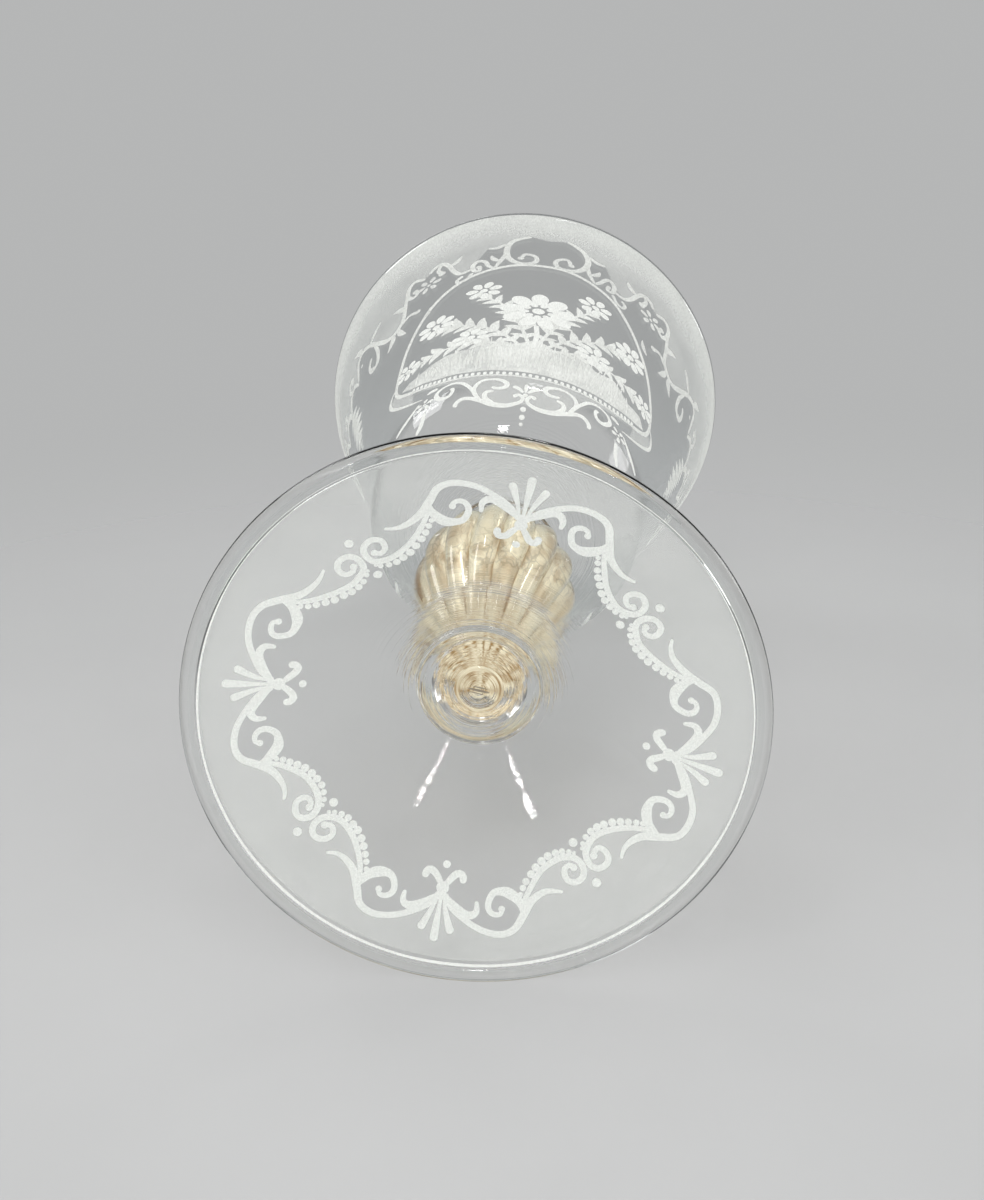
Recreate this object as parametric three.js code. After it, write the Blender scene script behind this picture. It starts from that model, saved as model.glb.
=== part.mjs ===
// Engraved glass vase: a flared bowl on a ribbed, gilt knop and a wide foot with a folded rim.
//
// The vase is blown and joined hot from ten gathers of glass, stacked on one axis.
// Each gather is a solid of its own, and flat seats meet face to face where the glass was joined.
// Millimetres, +Z up. The origin is the centre of the foot, in the plane that the vase stands on.

import * as THREE from "three";

// Foot
const footRadius = 75;
const footHeight = 24;
const footSheet = 2.0;
const foldWidth = 5.0;
const foldSheet = 1.7;
const foldAirLine = 0.4;
const airLineInset = 0.2;
const pontilRadius = 6.5;
const pontilDepth = 0.8;

// Buttons, necks and mereses: the discs and short spools between the blown parts
const footButton = { radius: 17, height: 4.5 };
const lowerNeck = { radius: 12.5, waist: 9.6, height: 15.5 };
const lowerMerese = { radius: 20.6, height: 5.5 };
const upperMerese = { radius: 18.5, height: 4.6 };
const upperNeck = { radius: 12.0, waist: 9.4, height: 8.0 };
const bowlButton = { radius: 15.5, height: 4.4 };
const seatLedge = 1;

// Knop
const knopHeight = 80.5;
const knopRadius = 23.8;
const knopFootRadius = 12.5;
const knopNeckRadius = 11.5;
const knopBelly = 0.66;
const ribCount = 14;
const ribDepth = 3.4;
const ribEndShare = 0.55;
const ribTwist = THREE.MathUtils.degToRad(14);
const knopCasing = 3.4;
const knopCoreWall = 2.2;
const casingClearance = 0.3;

// Bowl
const bowlHeight = 159;
const bowlRimRadius = 72.6;
const bowlBaseRadius = 45;
const bowlWall = 2.2;
const bowlFloor = 3.4;

// Facets
const wideSegments = 60;
const narrowSegments = 28;
const ribSegments = 5;
const knopSteps = 5;
const chordError = 0.5;
const chordShare = 0.025;

// Radii of the flat seats at which the discs are joined to the gathers next to them
const footSeat = footButton.radius - seatLedge;
const lowerNeckSeat = lowerNeck.radius + seatLedge;
const knopFootSeat = knopFootRadius + seatLedge;
const knopNeckSeat = knopNeckRadius + seatLedge;
const upperNeckSeat = upperNeck.radius + seatLedge;
const bowlSeat = bowlButton.radius - seatLedge * 2;

// Heights at which one gather is joined to the next, from the foot up
const buttonTop = footHeight + footButton.height;
const lowerNeckTop = buttonTop + lowerNeck.height;
const knopBottom = lowerNeckTop + lowerMerese.height;
const knopTop = knopBottom + knopHeight;
const upperMereseTop = knopTop + upperMerese.height;
const upperNeckTop = upperMereseTop + upperNeck.height;
const bowlBottom = upperNeckTop + bowlButton.height;

const clearGlass = { color: 0xdfe6e6, roughness: 0.05, metalness: 0 };
const giltGlass = { color: 0xd9b46a, roughness: 0.3, metalness: 0.6 };

const vase = new THREE.Group();

function addPiece(name, geometry, height, look) {
  const mesh = new THREE.Mesh(geometry, new THREE.MeshStandardMaterial(look));
  mesh.name = name;
  // A lathe turns about Y, so the piece is laid over to stand along Z.
  mesh.rotation.x = Math.PI / 2;
  mesh.position.z = height;
  vase.add(mesh);
}

// Widest distance between a curve and its chords when it is cut into equal steps.
function widestChord(curve, steps) {
  let widest = 0;
  for (let i = 0; i < steps; i += 1) {
    const start = curve.getPoint(i / steps);
    const end = curve.getPoint((i + 1) / steps);
    const middle = curve.getPoint((i + 0.5) / steps);
    widest = Math.max(widest, middle.distanceTo(start.lerp(end, 0.5)));
  }
  return widest;
}

// A path is drawn as (radius, height) and turned about the axis.
// Each curve gets as few steps as keep its chords within the chord error, which is finer
// on short curves.
function turned(path, segments) {
  const points = [path.curves[0].getPoint(0)];
  for (const curve of path.curves) {
    const allowed = Math.min(chordError, curve.getLength() * chordShare);
    let steps = 1;
    while (widestChord(curve, steps) > allowed) {
      steps += 1;
    }
    points.push(...curve.getPoints(steps).slice(1));
  }
  return new THREE.LatheGeometry(points, segments);
}

// Foot: a shallow blown bell, highest at the seat of the button, with its edge folded under.
// The folded layer leaves a narrow wedge of air beneath the sheet.
// The handles of its curves are shares of the reach from seat to edge and of the skirt's height.
function footProfile() {
  const rimHeight = foldSheet + foldAirLine + footSheet;
  const edgeRadius = rimHeight / 2;
  const edgeStart = footRadius - edgeRadius;
  const foldInner = footRadius - foldWidth;
  const skirt = footHeight - rimHeight;
  const reach = edgeStart - footSeat;
  const soffit = footHeight - footSheet;
  const lip = foldSheet / 2;

  const path = new THREE.Path();
  path.moveTo(0, soffit - pontilDepth);
  path.lineTo(pontilRadius * 0.6, soffit - pontilDepth);
  path.quadraticCurveTo(pontilRadius * 0.9, soffit - pontilDepth, pontilRadius, soffit);
  path.lineTo(footSeat - seatLedge, soffit);
  path.bezierCurveTo(
    footSeat + reach * 0.3, soffit - skirt * 0.42,
    edgeStart - reach * 0.28, foldSheet + foldAirLine + skirt * 0.13,
    foldInner, foldSheet + foldAirLine,
  );
  path.lineTo(edgeStart - airLineInset, foldSheet + foldAirLine * 0.5);
  path.lineTo(foldInner + lip, foldSheet);
  path.quadraticCurveTo(foldInner, lip, foldInner + lip, 0);
  path.lineTo(edgeStart, 0);
  path.absarc(edgeStart, edgeRadius, edgeRadius, -Math.PI / 2, 0, false);
  path.absarc(edgeStart, edgeRadius, edgeRadius, 0, Math.PI / 2, false);
  path.bezierCurveTo(
    edgeStart - reach * 0.28, rimHeight + skirt * 0.13,
    footSeat + reach * 0.3, footHeight - skirt * 0.42,
    footSeat, footHeight,
  );
  path.lineTo(0, footHeight);
  return path;
}

// Button or merese: a squeezed disc with a rounded edge and flat seats of the given radii.
function discProfile({ radius, height }, lowerSeat, upperSeat) {
  const path = new THREE.Path();
  path.moveTo(0, 0);
  path.lineTo(lowerSeat, 0);
  path.quadraticCurveTo(radius, 0, radius, height / 2);
  path.quadraticCurveTo(radius, height, upperSeat, height);
  path.lineTo(0, height);
  return path;
}

// Neck: a short spool drawn in to its waist.
function neckProfile({ radius, waist, height }) {
  const path = new THREE.Path();
  path.moveTo(0, 0);
  path.lineTo(radius, 0);
  path.bezierCurveTo(waist, height * 0.25, waist, height * 0.75, radius, height);
  path.lineTo(0, height);
  return path;
}

// Knop outline at a depth below the rib crests, from the foot of the knop to its neck.
// The belly lies above the middle, so the knop is an inverted pear.
function knopCurve(path, depth, bottom, top, upwards) {
  const foot = new THREE.Vector2(knopFootRadius - depth * 0.5, bottom);
  const belly = new THREE.Vector2(knopRadius - depth, knopHeight * knopBelly);
  const neck = new THREE.Vector2(knopNeckRadius - depth * 0.5, top);
  const rise = belly.y - bottom;
  const fall = top - belly.y;
  const lower = [
    foot.x + (belly.x - foot.x) * 0.15, bottom + rise * 0.35,
    belly.x, belly.y - rise * 0.38,
  ];
  const upper = [
    belly.x, belly.y + fall * 0.6,
    neck.x + (belly.x - neck.x) * 0.5, top - fall * 0.12,
  ];
  if (upwards) {
    path.lineTo(foot.x, foot.y);
    path.bezierCurveTo(...lower, belly.x, belly.y);
    path.bezierCurveTo(...upper, neck.x, neck.y);
  } else {
    path.lineTo(neck.x, neck.y);
    path.bezierCurveTo(upper[2], upper[3], upper[0], upper[1], belly.x, belly.y);
    path.bezierCurveTo(lower[2], lower[3], lower[0], lower[1], foot.x, foot.y);
  }
}

// Casing: the outer gather of the knop, pressed in the rib mould, open at the top.
function casingProfile() {
  const path = new THREE.Path();
  path.moveTo(0, 0);
  knopCurve(path, 0, 0, knopHeight, true);
  knopCurve(path, knopCasing, knopCasing, knopHeight, false);
  path.lineTo(0, knopCasing);
  return path;
}

// Core: the inner bubble that carries the gold leaf, with its blowing hole at the top.
function coreProfile() {
  const outside = knopCasing + casingClearance;
  const inside = outside + knopCoreWall;
  const path = new THREE.Path();
  path.moveTo(0, knopCasing);
  knopCurve(path, outside, knopCasing, knopHeight, true);
  knopCurve(path, inside, inside, knopHeight, false);
  path.lineTo(0, inside);
  return path;
}

// Ribs: the mould presses valleys between round lobes, and a turn of the iron twists them.
// They are deepest at mid-height and shallower at the two flat seats.
function pressRibs(geometry) {
  const position = geometry.getAttribute("position");
  const point = new THREE.Vector3();
  for (let i = 0; i < position.count; i += 1) {
    point.fromBufferAttribute(position, i);
    const radius = Math.hypot(point.x, point.z);
    const angle = Math.atan2(point.x, point.z);
    const along = point.y / knopHeight;
    const lobe = Math.abs(Math.sin((ribCount / 2) * angle));
    const swell = ribEndShare + (1 - ribEndShare) * Math.sin(Math.PI * along);
    const pressed = radius * (1 - (ribDepth / knopRadius) * swell * (1 - lobe));
    const turn = angle + ribTwist * along;
    position.setXYZ(i, pressed * Math.sin(turn), point.y, pressed * Math.cos(turn));
  }
  geometry.computeVertexNormals();
}

// Every wall of the knop has the same steps and segments, so that the core nests in the casing
// facet to facet.
function ribbed(path) {
  const geometry = new THREE.LatheGeometry(path.getPoints(knopSteps), ribCount * ribSegments);
  pressRibs(geometry);
  return geometry;
}

// Bowl: a broad, shallow floor that turns up into a wall, flaring to a fire-polished rim.
// The handles of its curves are shares of the turn's height, the bowl's height and the flare.
function bowlProfile() {
  const turnHeight = bowlHeight * 0.15;
  const lip = bowlWall / 2;
  const wallTop = bowlHeight - lip;
  const rim = bowlRimRadius;
  const base = bowlBaseRadius;
  const innerBase = base - bowlWall;
  const innerTurn = turnHeight + bowlFloor * 0.6;

  const path = new THREE.Path();
  path.moveTo(0, 0);
  path.lineTo(bowlSeat, 0);
  path.bezierCurveTo(
    bowlSeat + (base - bowlSeat) * 0.62, turnHeight * 0.16,
    base - (base - bowlSeat) * 0.06, turnHeight * 0.36,
    base, turnHeight,
  );
  path.bezierCurveTo(
    base + (rim - base) * 0.16, bowlHeight * 0.42,
    rim - (rim - base) * 0.3, bowlHeight * 0.76,
    rim, wallTop,
  );
  path.absarc(rim - lip, wallTop, lip, 0, Math.PI / 2, false);
  path.absarc(rim - lip, wallTop, lip, Math.PI / 2, Math.PI, false);
  path.bezierCurveTo(
    rim - bowlWall - (rim - base) * 0.3, bowlHeight * 0.76,
    innerBase + (rim - base) * 0.16, bowlHeight * 0.42,
    innerBase, innerTurn,
  );
  path.bezierCurveTo(
    innerBase - innerBase * 0.05, innerTurn - (innerTurn - bowlFloor) * 0.7,
    innerBase * 0.6, bowlFloor,
    0, bowlFloor,
  );
  return path;
}

addPiece("foot", turned(footProfile(), wideSegments), 0, clearGlass);
addPiece(
  "foot_button",
  turned(discProfile(footButton, footSeat, lowerNeckSeat), narrowSegments),
  footHeight,
  clearGlass,
);
addPiece("lower_neck", turned(neckProfile(lowerNeck), narrowSegments), buttonTop, clearGlass);
addPiece(
  "lower_merese",
  turned(discProfile(lowerMerese, lowerNeckSeat, knopFootSeat), narrowSegments),
  lowerNeckTop,
  clearGlass,
);
addPiece("knop_casing", ribbed(casingProfile()), knopBottom, clearGlass);
addPiece("knop_core", ribbed(coreProfile()), knopBottom, giltGlass);
addPiece(
  "upper_merese",
  turned(discProfile(upperMerese, knopNeckSeat, upperNeckSeat), narrowSegments),
  knopTop,
  clearGlass,
);
addPiece("upper_neck", turned(neckProfile(upperNeck), narrowSegments), upperMereseTop, clearGlass);
addPiece(
  "bowl_button",
  turned(discProfile(bowlButton, upperNeckSeat, bowlSeat), narrowSegments),
  upperNeckTop,
  clearGlass,
);
addPiece("bowl", turned(bowlProfile(), wideSegments), bowlBottom, clearGlass);

export default vase;
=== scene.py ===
# %% [markdown]
# # An engraved glass vase
# The vase is blown, joined hot, and then engraved cold. Its bowl, foot and stem are clear glass,
# its knop carries gold leaf under a ribbed gather, and a wheel has cut scrolls into the surface.
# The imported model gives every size. Each cell below makes one thing: the camera, the studio,
# the glass, the gatherings from the foot up, and then the engraver's work.

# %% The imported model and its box
import math

import bpy
import numpy as np
from mathutils import Matrix, Vector


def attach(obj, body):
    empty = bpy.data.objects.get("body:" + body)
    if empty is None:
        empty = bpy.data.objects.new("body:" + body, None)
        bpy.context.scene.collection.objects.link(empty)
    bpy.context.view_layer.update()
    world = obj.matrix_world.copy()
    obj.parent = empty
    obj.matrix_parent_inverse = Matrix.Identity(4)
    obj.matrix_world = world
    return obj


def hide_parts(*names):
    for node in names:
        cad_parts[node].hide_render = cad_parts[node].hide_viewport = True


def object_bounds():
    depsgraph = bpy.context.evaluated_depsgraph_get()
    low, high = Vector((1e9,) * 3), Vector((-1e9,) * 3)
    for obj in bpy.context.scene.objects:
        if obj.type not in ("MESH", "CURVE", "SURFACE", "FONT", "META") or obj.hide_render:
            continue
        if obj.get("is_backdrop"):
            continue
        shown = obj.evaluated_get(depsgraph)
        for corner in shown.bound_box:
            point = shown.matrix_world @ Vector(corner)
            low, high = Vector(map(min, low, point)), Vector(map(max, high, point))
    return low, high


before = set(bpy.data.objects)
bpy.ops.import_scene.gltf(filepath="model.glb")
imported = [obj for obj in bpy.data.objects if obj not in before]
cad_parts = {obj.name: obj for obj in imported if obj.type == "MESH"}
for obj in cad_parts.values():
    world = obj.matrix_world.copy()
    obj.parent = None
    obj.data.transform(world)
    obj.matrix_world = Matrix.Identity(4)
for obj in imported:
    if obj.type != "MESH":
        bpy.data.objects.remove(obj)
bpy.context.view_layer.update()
MM = 0.001

# %% [markdown]
# ## The camera
# The photograph looks along the vase from the foot, a little from the side that carries the
# medallion. A camera is a position and three directions, and here the directions are the columns
# of a rotation matrix. A fixed matrix was chosen because a tracking constraint would add a rule
# that other views have to undo.

# %% Camera
EYE_MM = (37.1, -220.0, -506.5)
LOOKS_BACK = Vector((0.05885, -0.346, -0.93638)).normalized()
UPWARDS = Vector((0.0, -0.93801, 0.3466))
to_right = UPWARDS.cross(LOOKS_BACK).normalized()
upright = LOOKS_BACK.cross(to_right)

camera_data = bpy.data.cameras.new("camera")
camera_data.sensor_width = 36
camera_data.lens = 66
camera_data.clip_start = 0.01
camera_data.clip_end = 50
camera = bpy.data.objects.new("camera", camera_data)
bpy.context.scene.collection.objects.link(camera)
turned_to = Matrix((to_right, upright, LOOKS_BACK)).transposed().to_4x4()
camera.matrix_world = Matrix.Translation(Vector(EYE_MM) * MM) @ turned_to
bpy.context.scene.camera = camera
print("the camera stands", round(camera.location.length / MM), "mm from the foot")

# %% [markdown]
# ## Node trees in a few words
# Every finish here is a tree of shader nodes. Typing out each node and link takes pages, so two
# short helpers do it: one makes a node and fills its sockets, and it links a socket when the
# value that it is given is itself a socket.

# %% Node helpers
def add_node(tree, kind, settings=None, **sockets):
    """One node; each socket is a value to set or another node's output to link."""
    node = tree.nodes.new(kind)
    for name, value in (settings or {}).items():
        setattr(node, name, value)
    for name, value in sockets.items():
        key = int(name[1:]) if name[0] == "_" else name.replace("_", " ")
        if isinstance(value, bpy.types.NodeSocket):
            tree.links.new(value, node.inputs[key])
        else:
            node.inputs[key].default_value = value
    return node


def maths(tree, operation, first, second=0.0, third=0.0):
    """The output of one Math node."""
    node = add_node(tree, "ShaderNodeMath", {"operation": operation}, _0=first, _1=second)
    if operation in ("MULTIPLY_ADD", "SMOOTH_MIN", "SMOOTH_MAX"):
        if isinstance(third, bpy.types.NodeSocket):
            tree.links.new(third, node.inputs[2])
        else:
            node.inputs[2].default_value = third
    return node.outputs[0]


def eased(tree, value, start, end, low=0.0, high=1.0):
    """Smooth step of a value: low before start, high after end."""
    node = add_node(
        tree, "ShaderNodeMapRange", {"interpolation_type": "SMOOTHSTEP"},
        _0=value, _1=start, _2=end, _3=low, _4=high,
    )
    return node.outputs[0]


def new_finish(name):
    """An empty material with its output node."""
    finish = bpy.data.materials.new(name)
    finish.use_nodes = True
    finish.node_tree.nodes.clear()
    return finish, finish.node_tree


def shader_out(tree, surface):
    """Joins a shader to the material's output."""
    out = tree.nodes.new("ShaderNodeOutputMaterial")
    tree.links.new(surface, out.inputs["Surface"])


# %% [markdown]
# ## The studio
# Clear glass shows only what it bends and mirrors, so the room matters more than the lamps.
# The floor and the backdrop are one pale grey, against which matt white engraving still reads.
# The floor lies under the foot and is seen from above only. The vase is photographed lying
# down, so a second pale sheet touches the foot and the rim where the table was, and it fades
# out away from the vase. A single closed room would hide the vase from one side or another.

# %% Floor and table sheet
PALE = 0.47
GRAIN = 0.015
scene = bpy.context.scene
scene.view_settings.view_transform = "Standard"
scene.cycles.max_bounces = 32
scene.cycles.transmission_bounces = 32
scene.cycles.transparent_max_bounces = 48
scene.cycles.glossy_bounces = 8


def stage_sheet(name, centre, across, up, reach, fade, mirrored, tone=1.0):
    """A square sheet seen from one side, which fades out between the two fade radii. Where it
    isn't mirrored, a reflection looks past it at the lamps below."""
    corners = [
        Vector(centre) + Vector(across) * reach * s + Vector(up) * reach * t
        for s, t in ((-1, -1), (1, -1), (1, 1), (-1, 1))
    ]
    mesh = bpy.data.meshes.new(name)
    mesh.from_pydata(corners, [], [(0, 1, 2, 3)])
    sheet = bpy.data.objects.new(name, mesh)
    bpy.context.scene.collection.objects.link(sheet)
    finish, tree = new_finish(name)
    place = add_node(tree, "ShaderNodeTexCoord").outputs["Object"]
    away = add_node(
        tree, "ShaderNodeVectorMath", {"operation": "DISTANCE"}, _0=place, _1=centre,
    ).outputs["Value"]
    grain = add_node(tree, "ShaderNodeTexNoise", Vector=place, Scale=9.0, Detail=3.0)
    pale = tone * PALE
    shade = eased(tree, grain.outputs[0], 0.2, 0.8, pale * (1 - GRAIN), pale * (1 + GRAIN))
    matt = add_node(tree, "ShaderNodeBsdfDiffuse", Color=shade, Roughness=0.3)
    clear = add_node(tree, "ShaderNodeBsdfTransparent")
    behind = add_node(tree, "ShaderNodeNewGeometry").outputs["Backfacing"]
    ray = add_node(tree, "ShaderNodeLightPath").outputs
    lighting = maths(tree, "MAXIMUM", ray["Is Shadow Ray"], ray["Is Diffuse Ray"])
    if not mirrored:
        lighting = maths(tree, "MAXIMUM", lighting, ray["Is Glossy Ray"])
    gone = eased(tree, away, fade[0], fade[1])
    open_share = maths(tree, "MAXIMUM", maths(tree, "MAXIMUM", gone, behind), lighting)
    mix = add_node(
        tree, "ShaderNodeMixShader", _0=open_share, _1=matt.outputs[0], _2=clear.outputs[0],
    )
    shader_out(tree, mix.outputs[0])
    mesh.materials.append(finish)
    sheet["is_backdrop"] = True
    return sheet


FLOOR_AT, TABLE_AT = (0, 0, -0.0002), (0, 0.0753, 0.10)
stage_sheet(
    "floor", FLOOR_AT, (1, 0, 0), (0, 1, 0), reach=4.0, fade=(1.2, 3.6), mirrored=False, tone=1.07,
)
stage_sheet(
    "table_sheet", TABLE_AT, (1, 0, 0), (0, 0, 1), reach=0.6, fade=(0.14, 0.5), mirrored=True,
)
print("floor and table sheet at", PALE)

# %% [markdown]
# The room itself is the world's light, and it depends on the ray that asks. The camera sees the
# floor's pale grey. A ray that was mirrored or bent sees the same grey with a dark ring high up and
# a weaker dark patch low down, because clear glass with nothing dark round it has no outline. Every
# other ray gets one even light.

# %% The room
ROOM_LIGHT = 0.84
RING_DARKNESS, LOW_DARKNESS = 0.80, 0.15
world = bpy.data.worlds.new("room")
scene.world = world
world.use_nodes = True
room = world.node_tree
room.nodes.clear()
heading = add_node(room, "ShaderNodeTexCoord").outputs["Generated"]
split = add_node(room, "ShaderNodeSeparateXYZ", _0=heading)
height = split.outputs["Z"]
above = eased(room, height, 0.30, 0.55)
below_top = eased(room, height, 0.90, 0.74)
dark_ring = maths(room, "MULTIPLY", above, below_top)
under = eased(room, height, -0.15, -0.35, 0.0, LOW_DARKNESS)
dark = maths(room, "MAXIMUM", dark_ring, under)
level = maths(room, "MULTIPLY_ADD", dark, -RING_DARKNESS * PALE, PALE)
ray = add_node(room, "ShaderNodeLightPath").outputs
through_glass = maths(room, "MAXIMUM", ray["Is Glossy Ray"], ray["Is Transmission Ray"])
shown = add_node(
    room, "ShaderNodeMix", {"data_type": "FLOAT"}, _0=through_glass, _2=ROOM_LIGHT, _3=level,
).outputs[0]
shown = add_node(
    room, "ShaderNodeMix", {"data_type": "FLOAT"}, _0=ray["Is Camera Ray"], _2=shown, _3=PALE,
).outputs[0]
sky = add_node(room, "ShaderNodeBackground", Color=(0.99, 1.0, 1.0, 1.0), Strength=shown)
room_out = room.nodes.new("ShaderNodeOutputWorld")
room.links.new(sky.outputs[0], room_out.inputs["Surface"])
print("the room's even light is", ROOM_LIGHT)

# %% [markdown]
# ## The lamps
# Three soft boxes stand round the vase. A fourth, very wide and soft, stands behind the camera,
# because the foot faces it and its light has to reach the underside; the floor lets lamp light
# through. Its own reflection would lie across the whole underside, so reflections pass it by. Four
# small round lamps make the sparkles: two under the foot's neck, one along the knop's ribs and one
# on the round of the bowl's base.

# %% Lamps
def soft_box(name, place, target, width, height, strength):
    """A flat lamp that faces its target. Its power grows with distance squared."""
    data = bpy.data.lights.new(name, "AREA")
    data.shape = "ELLIPSE" if width == height else "RECTANGLE"
    data.size, data.size_y = width, height
    away = Vector(place) - Vector(target)
    data.energy = strength * math.pi ** 2 * away.length_squared
    lamp = bpy.data.objects.new(name, data)
    lamp.location = place
    lamp.rotation_euler = away.to_track_quat("Z", "Y").to_euler()
    bpy.context.scene.collection.objects.link(lamp)
    return lamp


BELOW_NECK, MID_HEIGHT = (0, 0, 0.05), (0, 0, 0.15)
LARGE_BOXES = (
    ("key_box", (-0.85, -0.75, 0.85), 0.40, 0.60, 0.16),
    ("fill_box", (1.0, -0.25, 0.45), 0.25, 0.90, 0.12),
    ("back_box", (0.35, 1.0, 0.75), 0.60, 0.30, 0.12),
)
FLASHES = (
    ("left_flash", (-0.222, -0.151, -0.620), BELOW_NECK, 0.026, 0.05),
    ("right_flash", (0.187, -0.149, -0.631), BELOW_NECK, 0.026, 0.04),
    ("rib_flash", (0.173, -0.664, 0.676), (0, 0, 0.08), 0.10, 0.065),
    ("bowl_flash", (-0.018, -0.314, -0.159), (0, -0.03, 0.153), 0.046, 0.075),
)
for name, place, width, height, strength in LARGE_BOXES:
    soft_box(name, place, MID_HEIGHT, width, height, strength)
camera_box = soft_box("camera_box", (0.02, -0.42, -0.60), BELOW_NECK, 0.95, 0.95, 0.52)
camera_box.visible_glossy = False
camera_box.visible_transmission = False
for name, place, target, across, strength in FLASHES:
    soft_box(name, place, target, across, across, strength)
print(len(LARGE_BOXES) + len(FLASHES) + 1, "lamps")

# %% [markdown]
# ## Shapes turned about an axis
# Blown glass is round because it is made turning. So each gathering is a profile, a list of
# (radius, height) points from the axis underneath, round the outside, and back to the axis,
# carried round by an angle. Blender's Screw modifier could do that, but here the rings are worked
# out as one array, so that ribs and ripples can be formulas on the same numbers.

# %% Profiles
def line(start, end, steps=1):
    """Points on a straight line after its start, in even steps."""
    t = np.linspace(0, 1, steps + 1)[1:, None]
    return np.array(start) * (1 - t) + np.array(end) * t


def bezier(a, b, c, d, steps=24):
    """Points on a cubic curve after its start: the sum of a, b, c, d weighted by
    (1-t)^3, 3t(1-t)^2, 3t^2(1-t) and t^3."""
    t = np.linspace(0, 1, steps + 1)[1:, None]
    a, b, c, d = map(np.array, (a, b, c, d))
    return a * (1 - t) ** 3 + 3 * b * t * (1 - t) ** 2 + 3 * c * t ** 2 * (1 - t) + d * t ** 3


def arc(centre, radius, start, end, steps=12):
    """Points on a circle after its start: centre + radius (cos, sin) of a turning angle."""
    t = np.radians(np.linspace(start, end, steps + 1)[1:])
    return np.array(centre) + radius * np.column_stack((np.cos(t), np.sin(t)))


def round_corner(a, b, c, steps=10):
    """Points after the start on the quadratic curve that leaves a towards b and arrives at c."""
    a, b, c = map(np.array, (a, b, c))
    return bezier(a, a + (b - a) * 2 / 3, c + (b - c) * 2 / 3, c, steps)


# %% [markdown]
# A turned solid has a pole at each end of its profile, closed by a fan of triangles.
# Where two gatherings were joined hot there is no surface in the real glass, so faces on a joined
# seat take a second finish that light passes through unbent. The seats stand a few thousandths
# of a millimetre apart, because faces that coincide confuse a ray.

# %% Turning a profile
SEAT_GAP = 0.004


def new_piece(name, points_mm, faces, finishes, finish_of_face=None, sharp=None):
    """A mesh object from points in millimetres, with smooth faces, that rides on the vase."""
    mesh = bpy.data.meshes.new(name)
    mesh.from_pydata((points_mm * MM).tolist(), [], faces)
    for finish in finishes:
        mesh.materials.append(finish)
    if finish_of_face is not None:
        mesh.polygons.foreach_set("material_index", np.asarray(finish_of_face, np.int32))
    mesh.polygons.foreach_set("use_smooth", np.ones(len(mesh.polygons), bool))
    if sharp is not None:
        mesh.set_sharp_from_angle(angle=math.radians(sharp))
    mesh.update()
    piece = bpy.data.objects.new(name, mesh)
    bpy.context.scene.collection.objects.link(piece)
    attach(piece, "root")
    print(name, len(points_mm), "points")
    return piece


def turn(name, profile, finishes, around=192, seats=(), press=None, sharp=38):
    """x = r cos(angle), y = r sin(angle), z = height for every profile point and angle, with
    press(points) applied to the rings. seats are (height, radius from, radius to)."""
    profile = np.asarray(profile, float)
    rings = profile[1:-1]
    angle = np.linspace(0, 2 * np.pi, around, endpoint=False)
    radius, height = rings[:, :1], np.broadcast_to(rings[:, 1:], (len(rings), around))
    points = np.stack((radius * np.cos(angle), radius * np.sin(angle), height), axis=-1)
    if press is not None:
        points = press(points)
    low = [[0.0, 0.0, profile[0, 1]]]
    high = [[0.0, 0.0, profile[-1, 1]]]
    points = np.vstack((low, points.reshape(-1, 3), high))

    here = np.arange(around)
    after = np.roll(here, -1)
    base = 1 + around * np.arange(len(rings))
    a, b = base[:-1, None], base[1:, None]
    quads = np.stack((a + here, a + after, b + after, b + here), axis=-1).reshape(-1, 4)
    fan_low = np.column_stack((np.zeros(around, int), 1 + after, 1 + here))
    last = len(points) - 1
    fan_high = np.column_stack((np.full(around, last), base[-1] + here, base[-1] + after))
    faces = fan_low.tolist() + quads.tolist() + fan_high.tolist()

    joined = np.zeros(len(profile) - 1, bool)
    for level, inner, outer in seats:
        on = np.abs(profile[:, 1] - level) < 2 * SEAT_GAP
        inside = (profile[:, 0] > inner - 0.01) & (profile[:, 0] < outer + 0.01)
        both = on & inside
        joined |= both[:-1] & both[1:]
    slot_of_face = np.repeat(joined.astype(int), around)
    return new_piece(name, points, faces, finishes, slot_of_face, sharp)


# %% [markdown]
# ## Clear glass
# Light is a third slower in such glass, so a Principled shader with full transmission and an
# index of 1.5 is the body. Each crossing takes a few hundredths of the light, and more where a
# wall is seen edge-on, which darkens the outline as thick glass does. An absorbing volume would
# be truer, but it fails where the gathers are joined, because a ray then leaves one volume inside
# another. Hand-blown glass is never quite flat: a slow noise and fine rings left by the jacks
# nudge its normals. Lamp light passes it unbent, since bent lamp light would need far more samples.

# %% Clear glass and joined seats
EDGE_FROM = 0.40
EDGE_TINT = (0.40, 0.46, 0.46, 1.0)


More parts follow.
